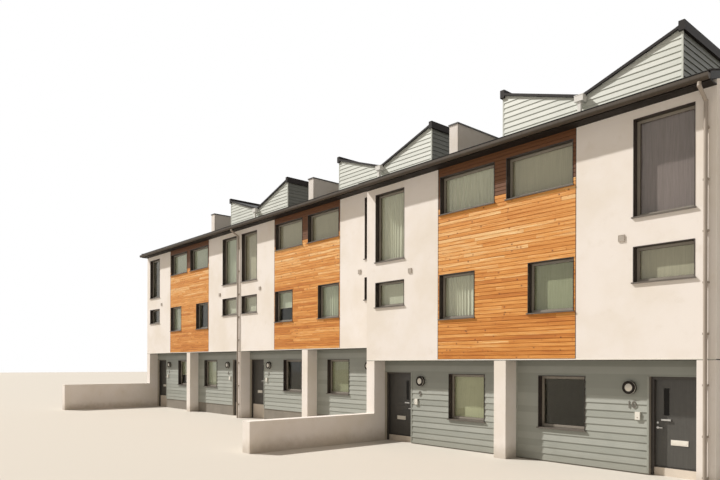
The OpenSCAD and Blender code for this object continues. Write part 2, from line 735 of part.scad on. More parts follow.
// Metal lining of the sides and head of a reveal
module liner(w, y) difference() {
    slab(w[0], w[1], y - liner_out, y + reveal, w[2], w[3]);
    slab(w[0] + liner_t, w[1] - liner_t, y - reveal, y + 2 * reveal, w[2] - cut_over, w[3] - liner_t);
}
module window_liners() color("black")
    for (h = [1:houses]) at_house(h) {
        for (w = concat(timber_windows, render_windows)) liner(w, 0);
        for (w = ground_windows) liner(w, recess);
    }
module front_window_frames() color("dimgray")
    for (h = [1:houses]) at_house(h) {
        for (w = concat(timber_windows, render_windows)) frame_ring(w, reveal);
        for (w = ground_windows) frame_ring(w, recess + reveal);
    }
module front_window_glass() color("lightsteelblue")
    for (h = [1:houses]) at_house(h) {
        for (w = concat(timber_windows, render_windows)) pane(w, reveal);
        for (w = ground_windows) pane(w, recess + reveal);
    }
module rear_window_frames() color("dimgray")
    for (h = [1:houses]) at_house(h) from_rear()
        for (w = concat(rear_windows, attic_windows)) frame_ring(w, reveal);
module rear_window_glass() color("lightsteelblue")
    for (h = [1:houses]) at_house(h) from_rear()
        for (w = concat(rear_windows, attic_windows)) pane(w, reveal);
module window_sills() color("gray")
    for (h = [1:houses]) at_house(h) {
        for (w = concat(timber_windows, render_windows)) sill(w, 0);
        for (w = ground_windows) sill(w, recess);
        from_rear() {
            for (w = boarded_rear) sill(w, -clad_t);
            for (w = plain_rear) sill(w, 0);
        }
    }

// Doors. Positions inside a house are given as b, from the outer party line
module at_outer(h) at_house(h) translate([house_w, 0, 0]) mirror([1, 0, 0]) children();
module door_steps() color("lightgray")
    for (h = [1:houses]) at_outer(h)
        slab(half_party + jamb_w, half_party + door_w - jamb_w,
            recess + door_in + stop_d - step_out, ground_in, -rise(block_of(h)), step_h);
// Jambs and head, which stand on the ground, with the threshold bar between them
module door_frame(foot) translate([half_party, recess + door_in, 0]) {
    difference() {
        slab(0, door_w, 0, stop_d + seal_gap + leaf_t, foot, door_top);
        slab(jamb_w, door_w - jamb_w, stop_d, wall_t, foot - cut_over, door_top - jamb_w);
        slab(jamb_w + stop_w, door_w - jamb_w - stop_w, -cut_over, wall_t, step_h - cut_over,
            door_top - jamb_w - stop_w);
        slab(jamb_w, door_w - jamb_w, -cut_over, wall_t, foot - cut_over, step_h);
    }
    slab(jamb_w, door_w - jamb_w, stop_d - step_out, stop_d + seal_gap + leaf_t,
        step_h, step_h + sill_bar);
}
// Half a hinge about the pin, at the height z, with its plate on the side given by way
module hinge_half(z, way) translate([pin_b, pin_y, z]) {
    cylinder(d = knuckle_d, h = knuckle_h);
    mirror([way < 0 ? 1 : 0, 0, 0]) {
        slab(0, knuckle_d / 2, -pin_back, 0, 0, knuckle_h);
        slab(leaf_gap / 2, leaf_gap / 2 + plate_w, -pin_back, -pin_back + plate_t, 0, knuckle_h);
    }
}
hinge_heights = [for (s = [0.13, 0.5, 0.87]) leaf_z + s * leaf_h];
module door_frames() color("dimgray")
    for (h = [1:houses]) at_outer(h) {
        door_frame(-rise(block_of(h)));
        for (z = hinge_heights) hinge_half(z - knuckle_h, -1);
    }
module at_leaf(h) at_outer(h) translate([half_party + jamb_w + leaf_gap, leaf_y, leaf_z]) children();
module leaf(h) color("dimgray") at_leaf(h) difference() {
    cube([leaf_w, leaf_t, leaf_h]);
    slab(leaf_w - slot_in - slot_w, leaf_w - slot_in, -cut_over, leaf_t + cut_over,
        slot_z, slot_z + slot_h);
}
module lever() {
    rotate([90, 0, 0]) cylinder(d = rose_d, h = rose_t);
    rotate([90, 0, 0]) cylinder(d = spindle_d, h = lever_out);
    translate([-lever_l, -lever_out, -lever_h / 2]) cube([lever_l, lever_t, lever_h]);
    translate([0, 0, lock_up]) rotate([90, 0, 0]) cylinder(d = lock_d, h = rose_t);
}
module letter_plate() slab((leaf_w - letter_w) / 2, (leaf_w + letter_w) / 2, -letter_t, 0,
    letter_z - letter_h / 2, letter_z + letter_h / 2);
slot_mid = leaf_w - slot_in - slot_w / 2;
// Bar under the vision slot, with its top sloped to shed water
module slot_bar() along_x(slot_mid - bar_w / 2, slot_mid + bar_w / 2) polygon([
    [0, slot_z - bar_drop], [-bar_out, slot_z - bar_drop - bar_out / 4],
    [-bar_out, slot_z - bar_drop - bar_h], [0, slot_z - bar_drop - bar_h]
]);
module fittings(h) color("silver") {
    at_outer(h) for (z = hinge_heights) hinge_half(z + knuckle_gap, 1);
    at_leaf(h) {
        translate([leaf_w - lever_in, 0, lever_z]) lever();
        translate([leaf_w - lever_in, leaf_t, lever_z]) mirror([0, 1, 0]) lever();
        letter_plate();
        slot_bar();
        slab(slot_mid - slot_w / 2, slot_mid + slot_w / 2, (leaf_t - glass_t) / 2,
            (leaf_t + glass_t) / 2, slot_z, slot_z + slot_h);
    }
}

// Fittings on the walls
// Round body with a raised rim and a shallow domed lens
lamp_rim = lamp_d * 0.12;
lamp_body = lamp_depth * 0.6;
lens_r = lamp_d / 2 - lamp_rim;
lens_rise = lamp_depth - lamp_body;
dome_r = (lens_r * lens_r + lens_rise * lens_rise) / (2 * lens_rise);
module door_lamp() rotate_extrude() {
    square([lens_r, lamp_body]);
    intersection() {
        translate([0, lamp_depth - dome_r]) circle(dome_r);
        translate([0, lamp_body]) square([lens_r, lens_rise]);
    }
    translate([lens_r, 0]) square([lamp_rim, lamp_body]);
    translate([lens_r + lamp_rim / 2, lamp_body]) intersection() {
        circle(lamp_rim / 2);
        translate([-lamp_rim, -join_over]) square([2 * lamp_rim, lamp_rim]);
    }
}
module door_lamps() color("ivory")
    for (h = [1:houses]) at_outer(h) translate([lamp_b, recess, lamp_z]) rotate([90, 0, 0])
        door_lamp();
module bell_boxes() color("white")
    for (h = [1:houses]) at_outer(h) slab(bell_b - bell_w / 2, bell_b + bell_w / 2, recess - bell_t, recess,
        bell_z - bell_h / 2, bell_z + bell_h / 2);
module wall_vents() color("white")
    for (h = [1:houses]) at_outer(h) slab(vent_b - vent_w / 2, vent_b + vent_w / 2, -vent_t, 0,
        vent_z - vent_w / 2, vent_z + vent_w / 2);
module garden_walls() color("antiquewhite") {
    at_block(0) translate([line_x(0), 0, 0])
        slab(-half_party, half_party, -garden_l, 0, -step_rise, garden_h);
    at_block(1) translate([step_x, 0, 0]) slab(-half_party, half_party, -garden_l, 0, 0, garden_h);
}

ground_floors();
first_floors();
second_floors();
attic_floors();
party_walls();
party_fins();
ground_front_walls();
door_head_walls();
overhang_soffits();
render_walls();
timber_walls();
rear_walls();
box_front_walls();
box_side_walls();
box_rear_walls();
larch_cladding();
ground_cladding();
box_cladding();
main_roofs();
box_roofs();
box_fascias();
valley_hoppers();
party_upstands();
upstand_copings();
eaves_boards();
gutters();
downpipes();
window_sills();
window_liners();
front_window_frames();
front_window_glass();
rear_window_frames();
rear_window_glass();
door_frames();
door_steps();
door_lamps();
bell_boxes();
wall_vents();
garden_walls();
leaf(1);  // door_leaf_1
leaf(2);  // door_leaf_2
leaf(3);  // door_leaf_3
leaf(4);  // door_leaf_4
leaf(5);  // door_leaf_5
leaf(6);  // door_leaf_6
fittings(1);  // door_fittings_1
fittings(2);  // door_fittings_2
fittings(3);  // door_fittings_3
fittings(4);  // door_fittings_4
fittings(5);  // door_fittings_5
fittings(6);  // door_fittings_6
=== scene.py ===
# %% [markdown]
# A row of six three-storey terraced houses, built in mirrored pairs. Each pair has a panel of
# larch boards round its shared party line, render on both sides of it, a set-back ground
# storey in painted lap boards, and a boarded box on the roof whose roof falls to a valley.
# The measured solids come first and stay fixed. Everything below gives them their finishes,
# and adds the small pieces that solids leave out: boards, tiles, beads, numbers and curtains.

# %% Load the frame
import math
import random

import bmesh
import bpy
from mathutils import Matrix, Vector


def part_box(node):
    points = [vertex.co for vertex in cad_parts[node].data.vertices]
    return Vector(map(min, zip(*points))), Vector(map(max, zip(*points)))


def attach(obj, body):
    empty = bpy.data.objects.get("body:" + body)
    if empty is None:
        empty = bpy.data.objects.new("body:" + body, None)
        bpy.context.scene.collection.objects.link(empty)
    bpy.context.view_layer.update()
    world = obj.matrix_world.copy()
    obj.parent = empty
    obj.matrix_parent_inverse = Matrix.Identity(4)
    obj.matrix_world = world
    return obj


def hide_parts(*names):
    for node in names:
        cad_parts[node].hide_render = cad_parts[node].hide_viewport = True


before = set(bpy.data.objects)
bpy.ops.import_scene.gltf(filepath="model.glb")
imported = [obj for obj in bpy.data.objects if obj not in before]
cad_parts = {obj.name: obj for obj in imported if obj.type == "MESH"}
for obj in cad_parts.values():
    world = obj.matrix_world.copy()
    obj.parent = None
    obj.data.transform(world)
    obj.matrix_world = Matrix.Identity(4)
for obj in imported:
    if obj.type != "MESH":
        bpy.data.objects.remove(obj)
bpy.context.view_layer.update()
random.seed(7)

# %% [markdown]
# The houses stand between lines, which are the middles of the party walls, numbered from 0 at
# the left end. Inside a house, c is the distance from the pair's shared line and b the
# distance from its outer line, so one set of sizes serves a house and its mirror image.
# Four houses form the left block, which stands back and a little higher. The lines, the block
# faces and the row's ends are read from the solids, and the other sizes are in metres.

# %% Lines, blocks and storeys
HOUSES = 6
LEFT_HOUSES = 4
PARTY = 0.36
RECESS = 0.45
DEPTH = 10.20
OVERHANG_Z = 2.50
EAVES_Z = 7.80
ROW_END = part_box("party_walls")[1].x
HOUSE = (2 * ROW_END - PARTY) / HOUSES
RIGHT_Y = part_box("party_fins")[0].y
STEP_BACK = 1.04
LEFT_Y = RIGHT_Y + STEP_BACK
LEFT_Z = 0.44


def line_x(n):
    return (n - HOUSES / 2) * HOUSE


def pair_x(h):
    return line_x(2 * ((h - 1) // 2) + 1)


def side(h):
    return -1 if h % 2 else 1


def block_yz(h):
    return (LEFT_Y, LEFT_Z) if h <= LEFT_HOUSES else (RIGHT_Y, 0.0)


PAIR_HOUSES = (1, 3, 5)
print("house width", round(HOUSE, 3), "fronts at", round(RIGHT_Y, 3), round(LEFT_Y, 3))

# %% [markdown]
# Windows are written once as (near edge, far edge, foot, head), with edges as c. The foot
# that boards stop at is a sill's thickness lower.

# %% Window openings
SILL = 0.028
LARCH_WINDOWS = [(0.18, 2.03, 6.53, 7.57), (0.82, 2.05, 3.63, 4.86)]
RENDER_WINDOWS = [(3.435, 4.685, 5.52, 7.60), (3.435, 4.685, 4.13, 4.89)]
GROUND_WINDOWS = [(0.83, 2.09, 0.84, 2.11)]
REAR_LEVELS = [(0.84, 2.11), (3.63, 4.86), (6.34, 7.57)]
REAR_INNER = [(0.70, 1.90, z0, z1) for z0, z1 in REAR_LEVELS]
REAR_OUTER = [(3.00, 4.20, z0, z1) for z0, z1 in REAR_LEVELS]
ATTIC_WINDOWS = [(0.70, 1.90, 8.80, 9.80)]


def with_sills(windows):
    return [(w[0], w[1], w[2] - SILL, w[3]) for w in windows]


def mirrored(windows):
    return windows + [(-w[1], -w[0], w[2], w[3]) for w in windows]


print("front windows", HOUSES * len(LARCH_WINDOWS + RENDER_WINDOWS + GROUND_WINDOWS))

# %% [markdown]
# The camera stands in the street in front of the right-hand block, 2.4 m above its ground, and
# looks level along the row to the left. The lens is raised (shift_y) in place of tilting it, which
# keeps upright edges upright, as in an architect's photograph. Its place was worked out from
# where the storey lines and party lines meet in the picture.

# %% Camera
LENS = 31.62
RISE = 0.1726
LOOK = Vector((-0.7536, 0.6573, 0.0))
ROLL = math.radians(0.18)
CAMERA_PAST_ROW = 4.867
CAMERA_BACK = 13.2275
CAMERA_Z = 2.374
camera_data = bpy.data.cameras.new("street_camera")
camera_data.lens = LENS
camera_data.sensor_width = 36.0
camera_data.shift_y = RISE
camera_data.clip_end = 500.0
camera = bpy.data.objects.new("street_camera", camera_data)
bpy.context.scene.collection.objects.link(camera)
camera.location = (line_x(HOUSES) + CAMERA_PAST_ROW, RIGHT_Y - CAMERA_BACK, CAMERA_Z)
camera.rotation_euler = LOOK.to_track_quat("-Z", "Y").to_euler()
camera.rotation_euler.rotate_axis("Z", ROLL)
bpy.context.scene.camera = camera
print("camera at", [round(v, 3) for v in camera.location])

# %% [markdown]
# Light: a sun from the front left, high enough that the eaves shade the top of the render and
# the overhang shades the upper part of the doors, and a plain pale sky. Rays that reach the
# sky directly, or by a mirror or glass, see full white. Other rays get a third of that, a
# little warm, so that the shade under the eaves is as deep as it is on a clear day.

# %% Sun and sky
SUN_STRENGTH = 4.0
SKY_STRENGTH = 0.30
SKY_TINT = (1.0, 0.90, 0.77)
SUN_FROM = Vector((-1.7, -1.0, 1.9))
sun_data = bpy.data.lights.new("sun", "SUN")
sun_data.energy = SUN_STRENGTH
sun_data.angle = math.radians(1.5)
sun_data.color = (1.0, 0.965, 0.91)
sun = bpy.data.objects.new("sun", sun_data)
bpy.context.scene.collection.objects.link(sun)
sun.rotation_euler = SUN_FROM.to_track_quat("Z", "Y").to_euler()

scene = bpy.context.scene
scene.view_settings.view_transform = "Standard"
scene.world = bpy.data.worlds.new("plain_sky")
scene.world.use_nodes = True
print("sun from", tuple(round(v, 2) for v in SUN_FROM.normalized()))

# %% [markdown]
# A material is a small sum over a surface: a base colour, plus a bit of noise, minus some
# dirt. The class below wraps one output of a node so that such a sum can be written in
# Python. Each operator adds the Math node that does it. The method node adds any other node:
# its settings first, then the values or links of its sockets.

# %% A socket that takes part in sums


class Wire:
    """One output of a shader node."""

    def __init__(self, tree, socket):
        self.tree = tree
        self.socket = socket

    def node(self, kind, settings, inputs, out=0):
        new = self.tree.nodes.new(kind)
        for key, value in settings.items():
            if key == "stops":
                set_stops(new.color_ramp, value)
            else:
                setattr(new, key, value)
        for key, value in inputs.items():
            if isinstance(value, Wire):
                self.tree.links.new(value.socket, new.inputs[key])
            else:
                new.inputs[key].default_value = value
        return Wire(self.tree, new.outputs[out])

    def maths(self, operation, first, second):
        return self.node("ShaderNodeMath", {"operation": operation}, {0: first, 1: second})

    def __add__(self, other):
        return self.maths("ADD", self, other)

    def __sub__(self, other):
        return self.maths("SUBTRACT", self, other)

    def __rsub__(self, other):
        return self.maths("SUBTRACT", other, self)

    def __mul__(self, other):
        return self.maths("MULTIPLY", self, other)

    def __pow__(self, other):
        return self.maths("POWER", self, other)

    def __gt__(self, other):
        return self.maths("GREATER_THAN", self, other)

    __radd__ = __add__
    __rmul__ = __mul__


def set_stops(ramp, stops):
    """Stops are (place, colour) pairs; a ramp starts with two and keeps them sorted."""
    while len(ramp.elements) < len(stops):
        ramp.elements.new(0.5)
    for element, (place, colour) in zip(ramp.elements, stops):
        element.position = place
        element.color = colour


print("a Wire has", [n for n, value in vars(Wire).items() if callable(value)])

# %% [markdown]
# Helpers for colours and patterns. Colours are written as they look on a screen and turned
# into light values. Patterns read object coordinates, which here are metres in the row's own
# frame, so the grain of a board has its true size wherever the board is.

# %% Colours and patterns


def paint(code):
    """A screen colour such as F2E8DA as linear light."""
    parts = [int(code[i:i + 2], 16) / 255 for i in (0, 2, 4)]
    line = [p / 12.92 if p <= 0.04045 else ((p + 0.055) / 1.055) ** 2.4 for p in parts]
    return (*line, 1.0)


def stretch(p, by):
    return p.node("ShaderNodeVectorMath", {"operation": "MULTIPLY"}, {0: p, 1: by})


def moved(p, by):
    return p.node("ShaderNodeVectorMath", {"operation": "ADD"}, {0: p, 1: by})


def noise(p, scale, detail, roughness=0.5):
    inputs = {"Vector": p, "Scale": scale, "Detail": detail, "Roughness": roughness}
    return p.node("ShaderNodeTexNoise", {}, inputs)


def ramp(value, *stops):
    return value.node("ShaderNodeValToRGB", {"stops": stops}, {0: value})


def grey(level):
    return (level, level, level, 1.0)


def fade(value, low, high, at_low=0.0, at_high=1.0):
    """A smooth step from one level to another, while value goes from low to high."""
    inputs = {0: value, 1: low, 2: high, 3: at_low, 4: at_high}
    return value.node("ShaderNodeMapRange", {"interpolation_type": "SMOOTHSTEP"}, inputs)


def mix(factor, first, second):
    """Mixes two colours. Sockets 6 and 7 are the colours and output 2 the result."""
    sockets = {0: factor, 6: first, 7: second}
    wire = next(v for v in sockets.values() if isinstance(v, Wire))
    return wire.node("ShaderNodeMix", {"data_type": "RGBA"}, sockets, 2)


def axis(p, n):
    return p.node("ShaderNodeSeparateXYZ", {}, {0: p}, n)


print("white render in linear light", [round(v, 3) for v in paint("F2E8DA")])

# %% [markdown]
# A finish is a Principled shader with a base colour that varies, a roughness, and often a
# bump. One function makes it from a recipe: the recipe gets the object coordinates and gives
# back the colour, the roughness and the height of the surface in metres.

# %% Making a finish
FINISHES = {}


def finish(name, recipe, **plain):
    """plain sets sockets that are the same all over, such as Metallic."""
    material = bpy.data.materials.new(name)
    material.use_nodes = True
    tree = material.node_tree
    shader = tree.nodes["Principled BSDF"]
    for key, value in plain.items():
        shader.inputs[key.replace("_", " ")].default_value = value
    place = tree.nodes.new("ShaderNodeTexCoord")
    p = Wire(tree, place.outputs["Object"])
    colour, roughness, height = recipe(p)
    for key, value in (("Base Color", colour), ("Roughness", roughness)):
        if isinstance(value, Wire):
            tree.links.new(value.socket, shader.inputs[key])
        else:
            shader.inputs[key].default_value = value
    if height is not None:
        bump = p.node("ShaderNodeBump", {}, {"Height": height, "Distance": 1.0})
        tree.links.new(bump.socket, shader.inputs["Normal"])
    FINISHES[name] = material
    return material


def board_number(p):
    """The number that each board, tile or curtain carries, from 0 to 1."""
    return p.node("ShaderNodeAttribute", {"attribute_name": "board"}, {}, "Fac")


print("ready to mix finishes")

# %% [markdown]
# The sky is mixed here, because it needs the class above: about a third of full strength for
# the light that falls on things, full white where the camera, a mirror or glass looks at it.
# The floor is a plain pale sheet that keeps the shadow.

# %% Sky and floor
sky = scene.world.node_tree
rays = sky.nodes.new("ShaderNodeLightPath")
seen = Wire(sky, rays.outputs["Is Camera Ray"])
for ray in ("Is Glossy Ray", "Is Transmission Ray"):
    seen = seen.maths("MAXIMUM", seen, Wire(sky, rays.outputs[ray]))
tint = mix(seen, (*SKY_TINT, 1.0), grey(1.0))
sky.links.new(tint.socket, sky.nodes["Background"].inputs["Color"])
strength = SKY_STRENGTH + (1.0 - SKY_STRENGTH) * seen
sky.links.new(strength.socket, sky.nodes["Background"].inputs["Strength"])

FLOOR_REACH = 160.0
FLOOR_DOWN = 0.001
floor_mesh = bpy.data.meshes.new("floor")
corners = [(-FLOOR_REACH, -FLOOR_REACH, 0), (FLOOR_REACH, -FLOOR_REACH, 0),
           (FLOOR_REACH, FLOOR_REACH, 0), (-FLOOR_REACH, FLOOR_REACH, 0)]
floor_mesh.from_pydata(corners, [], [(0, 1, 2, 3)])
floor = bpy.data.objects.new("floor", floor_mesh)
scene.collection.objects.link(floor)
floor.location.z = -FLOOR_DOWN
floor_mesh.materials.append(finish("pale_floor", lambda p: (paint("D4CEC5"), 0.9, None)))
print("floor laid")

# %% [markdown]
# The render is a pale through-coloured coat over the walls and fins. Real render has a sandy
# grain of a millimetre or two, slow changes of tone where the coats met, and splashes of dirt
# near the ground. Each of those is one term of the sum.

# %% Render


def render_recipe(p):
    sand = noise(p, 420.0, 2.0)
    cloud = noise(p, 0.7, 4.0, 0.55)
    mottle = noise(p, 3.1, 5.0, 0.6)
    splash = fade(axis(p, 2) + 0.25 * noise(p, 6.0, 3.0), 0.12, 0.55, 1.0, 0.0)
    tone = mix(fade(cloud, 0.35, 0.7), paint("F5EFEB"), paint("EDE5DC"))
    tone = mix(fade(mottle, 0.55, 0.8, 0.0, 0.25), tone, paint("D8CDBF"))
    tone = mix(0.5 * splash, tone, paint("A79B88"))
    tone = mix(fade(sand, 0.3, 0.7, 0.08, 0.0), tone, paint("B8AB98"))
    return tone, 0.88, 0.0011 * sand + 0.004 * cloud


finish("white_render", render_recipe)
print("render mixed")

# %% [markdown]
# Other mineral surfaces differ only in their two tones: the door steps are pale stone, the
# plinth is grey, and the party walls that end the row have a plain grey parge coat, because
# another house was meant to stand against them. Behind the boards is plain sheathing, and the
# rooms have boarded floors, which a door or window can show.

# %% Stone, sheathing and floors


def mineral_recipe(low, high):
    def recipe(p):
        grain = noise(p, 160.0, 4.0)
        stain = noise(p, 1.7, 5.0, 0.6)
        tone = ramp(0.4 * grain + 0.6 * stain, (0.3, paint(low)), (0.7, paint(high)))
        return tone, 0.85, 0.001 * grain + 0.004 * stain
    return recipe


finish("step_stone", mineral_recipe("C9BFB2", "EADFD2"))
finish("parge_coat", mineral_recipe("AFA698", "C2B8A8"))
finish("plinth_grey", mineral_recipe("7D776E", "938C82"))


def sheathing_recipe(p):
    grain = noise(stretch(p, (3.0, 3.0, 30.0)), 1.0, 4.0)
    tone = ramp(grain, (0.3, paint("C7C0B3")), (0.7, paint("D8D2C6")))
    return tone, 0.8, 0.0005 * grain


finish("plain_sheathing", sheathing_recipe)


def floor_board_recipe(p):
    board = p.node("ShaderNodeTexBrick", {"offset": 0.37}, {
        "Vector": p, "Scale": 1.0, "Brick Width": 1.9, "Row Height": 0.14,
        "Mortar Size": 0.0015, "Color1": paint("5A4330"), "Color2": paint("6B503A"),
        "Mortar": paint("2A1F17")}, "Color")
    grain = noise(stretch(p, (2.0, 40.0, 40.0)), 1.0, 4.0)
    return mix(fade(grain, 0.4, 0.7, 0.0, 0.35), board, paint("453324")), 0.5, 0.0003 * grain


finish("room_floor", floor_board_recipe)
print("finishes", list(FINISHES))

# %% [markdown]
# Larch: every board has its own tone and its own stretch of grain, so each carries a random
# number. The number shifts the pattern, so that the grain stops at a joint as real grain
# does. Grain is noise drawn out along the board, which runs along X. Knots are the cells of a
# Voronoi pattern, kept only in some cells, and the grain bends round them. The boards close
# under the eaves get numbers below 0.06, and these are darkened to a deep brown: painted
# shade, for the deep shade under the eaves. Below them the most exposed boards have bleached,
# and get the higher numbers.

# %% Larch


def larch_recipe(p):
    number = board_number(p)
    shift = number.node("ShaderNodeCombineXYZ", {}, {0: 61.0 * number, 1: 17.0 * number,
                                                     2: 29.0 * number})
    q = moved(p, shift)
    flat = stretch(q, (6.5, 0.0, 6.5))
    knot = p.node("ShaderNodeTexVoronoi", {}, {"Vector": flat, "Scale": 1.0}, "Distance")
    cell = p.node("ShaderNodeTexVoronoi", {}, {"Vector": flat, "Scale": 1.0}, "Color")
    some = axis(cell, 0) > 0.50
    core = fade(knot, 0.06, 0.13, 1.0, 0.0) * some
    halo = fade(knot, 0.08, 0.32, 1.0, 0.0) * some
    bend = p.node("ShaderNodeCombineXYZ", {}, {2: 0.012 * halo})
    bent = moved(q, bend)
    figure = noise(stretch(bent, (0.9, 6.0, 26.0)), 1.6, 5.0, 0.62)
    lines = noise(stretch(bent, (1.6, 30.0, 230.0)), 1.0, 3.0, 0.6)
    blend = 0.62 * number + 1.25 * figure - 0.45
    tone = ramp(blend, (0.0, paint("A95C18")), (0.3, paint("D08430")),
                (0.6, paint("E9A655")), (0.9, paint("FCD89D")))
    tone = mix(fade(lines, 0.42, 0.68, 0.0, 0.45), tone, paint("A05F22"))
    tone = mix(0.5 * halo, tone, paint("A65A22"))
    tone = mix(0.9 * core, tone, paint("452310"))
    # Painted shade: boards with numbers below 0.06, under the eaves, turn deep brown.
    tone = mix(fade(number, 0.06, 0.08, 0.88, 0.0), tone, paint("53321A"))
    return tone, 0.62, 0.0006 * lines + 0.0012 * core


finish("larch_boards", larch_recipe)
print("larch mixed")

# %% [markdown]
# Lap boards are factory painted: grey-green on the ground storey, nearly white on the front
# and rear of the roof boxes, and a darker grey on their cheeks. The paint hides the grain's
# colour but not its relief, which is embossed along the board. The tone differs a little from
# board to board. One function makes all three paints from their lightest and darkest tones.

# %% Painted boards, dark boards, doors


def lap_recipe(dark, light, worn):
    def recipe(p):
        number = board_number(p)
        shift = p.node("ShaderNodeCombineXYZ", {}, {0: 31.0 * number})
        emboss = noise(stretch(moved(p, shift), (4.0, 4.0, 90.0)), 1.0, 4.0, 0.6)
        weather = noise(p, 1.3, 4.0)
        tone = mix(number, paint(dark), paint(light))
        tone = mix(fade(weather, 0.45, 0.75, 0.0, 0.3), tone, paint(worn))
        splash = fade(axis(p, 2) + 0.3 * noise(p, 5.0, 3.0), 0.2, 0.6, 0.35, 0.0)
        tone = mix(splash, tone, paint("7E7B6E"))
        return tone, 0.5, 0.0007 * emboss
    return recipe


finish("ground_lap_paint", lap_recipe("979A92", "A7AAA3", "898C85"))
finish("box_lap_paint", lap_recipe("D1D5CD", "DEE1DA", "C3C7BF"))
finish("cheek_lap_paint", lap_recipe("5D5F59", "696B64", "555751"))


# The near-black tone is partly the dark stain of the fascias and soffits and partly painted shade,
# for the deep shade under the eaves.
def dark_board_recipe(p):
    grain = noise(stretch(p, (2.0, 12.0, 60.0)), 1.0, 4.0)
    tone = ramp(grain, (0.3, paint("17120F")), (0.75, paint("241D19")))
    return tone, 0.62, 0.0004 * grain


finish("dark_stain_and_shade", dark_board_recipe, Specular_IOR_Level=0.25)


def door_recipe(low, high):
    def recipe(p):
        grain = noise(stretch(p, (60.0, 60.0, 2.5)), 1.0, 4.0)
        wear = noise(p, 9.0, 4.0)
        tone = ramp(0.6 * grain + 0.4 * wear, (0.3, paint(low)), (0.7, paint(high)))
        return tone, fade(wear, 0.3, 0.7, 0.38, 0.5), 0.00025 * grain
    return recipe


finish("door_grey", door_recipe("464441", "51504C"))
finish("frame_grey", door_recipe("3A3632", "443F3B"))
print("finishes", list(FINISHES))

# %% [markdown]
# Metals: the gutters are a satin brown-grey, the downpipes paler, the window linings a dark
# bronze that is partly painted shade for the reveals, the frames a lighter bronze, the hoppers
# white. Painted metal isn't shiny like steel, so only the door furniture and the numbers get
# any Metallic, and the rest is paint over metal.

# %% Metals and plastic


def metal_recipe(low, high, rough_low=0.35, rough_high=0.5):
    def recipe(p):
        cloud = noise(p, 3.0, 5.0)
        streak = noise(stretch(p, (25.0, 25.0, 0.8)), 1.0, 3.0)
        tone = ramp(0.6 * cloud + 0.4 * streak, (0.3, paint(low)), (0.7, paint(high)))
        return tone, fade(cloud, 0.3, 0.7, rough_low, rough_high), 0.00008 * streak
    return recipe


finish("gutter_grey", metal_recipe("40382F", "50473D", 0.5, 0.6), Specular_IOR_Level=0.3)
finish("pipe_grey", metal_recipe("9A8F84", "ACA196"))
finish("hopper_white", metal_recipe("E6E4DF", "F4F2EE"))
finish("coping_grey", metal_recipe("4A4744", "5A5653"))
finish("sill_grey", metal_recipe("57504A", "6B645C"))
# Painted shade in part: this dark bronze also stands for the shade in the window reveals and in
# the joint beside the larch.
finish("dark_bronze_and_shade", metal_recipe("2E2622", "3D342E"))
finish("frame_bronze", metal_recipe("8D867C", "9C958A"))
finish("lead_grey", metal_recipe("6C6E70", "8B8D8E", 0.45, 0.6))
finish("door_steel", metal_recipe("B9B8B5", "D2D1CE", 0.25, 0.4), Metallic=0.85)
finish("pale_plastic", metal_recipe("E3DFD5", "EFECE4", 0.3, 0.4))
finish("vent_grey", metal_recipe("A79D92", "B8AEA2", 0.4, 0.5))
finish("dark_plastic", metal_recipe("2B2725", "383330", 0.6, 0.7), Specular_IOR_Level=0.1)
finish("number_metal", metal_recipe("6F6A63", "7F7972", 0.3, 0.4), Metallic=0.3)
# Painted shade: the door pane is a glossy black sheet, standing for the dark hall seen through its
# glass.
finish("black_pane_painted_shade", metal_recipe("0B0B0B", "131312", 0.05, 0.08), Specular_IOR_Level=0.2)


def membrane_recipe(p):
    cloud = noise(p, 1.2, 5.0)
    grit = noise(p, 240.0, 2.0)
    tone = ramp(cloud, (0.3, paint("2B2C2E")), (0.7, paint("3A3B3C")))
    return tone, 0.75, 0.0008 * grit + 0.006 * cloud


finish("roof_membrane", membrane_recipe)


def tile_recipe(p):
    number = board_number(p)
    cloud = noise(p, 7.0, 5.0)
    lichen = fade(noise(p, 28.0, 4.0), 0.62, 0.72) * fade(noise(p, 1.1, 2.0), 0.45, 0.7)
    tone = ramp(0.6 * number + 0.4 * cloud, (0.2, paint("343537")), (0.8, paint("4E4F51")))
    tone = mix(0.5 * lichen, tone, paint("85877A"))
    return tone, 0.72, 0.0008 * noise(p, 140.0, 4.0)


finish("roof_tile", tile_recipe)
print("finishes", len(FINISHES))

# %% [markdown]
# Window glass is clear, a little tinted, and mirrors more at a slant. It is written as a mix
# of a see-through shader and a mirror. That lets the sun reach the curtains, which a fully
# refracting pane wouldn't in a short render. The share of the mirror is Schlick's rule: a few
# parts in a hundred straight on, rising with the fifth power of how slanting the view is. The
# Fresnel node isn't used, because light that isn't bent would meet total reflection at the
# back of the pane and turn it black.

# %% Glass
STRAIGHT_ON = 0.03


def glass_finish(name, tint, mirror):
    material = bpy.data.materials.new(name)
    material.use_nodes = True
    tree = material.node_tree
    tree.nodes.remove(tree.nodes["Principled BSDF"])
    p = Wire(tree, tree.nodes.new("ShaderNodeTexCoord").outputs["Object"])
    wave = noise(p, 1.7, 1.0)
    bump = p.node("ShaderNodeBump", {}, {"Height": 0.0015 * wave, "Distance": 1.0})
    slant = p.node("ShaderNodeLayerWeight", {}, {"Blend": 0.5}, "Facing")
    share = STRAIGHT_ON + (1.0 - STRAIGHT_ON) * slant ** 5.0
    clear = p.node("ShaderNodeBsdfTransparent", {}, {"Color": tint})
    shine = p.node("ShaderNodeBsdfGlossy", {}, {"Color": mirror, "Roughness": 0.02,
                                                "Normal": bump})
    both = p.node("ShaderNodeMixShader", {}, {0: share, 1: clear, 2: shine})
    tree.links.new(both.socket, tree.nodes["Material Output"].inputs["Surface"])
    FINISHES[name] = material


glass_finish("window_pane", paint("F3F5F1"), paint("F4F2EE"))
print("glass mixed")


# %% [markdown]
# Finishes for the CAD solids. Their meshes stay as they are, and only the material changes.

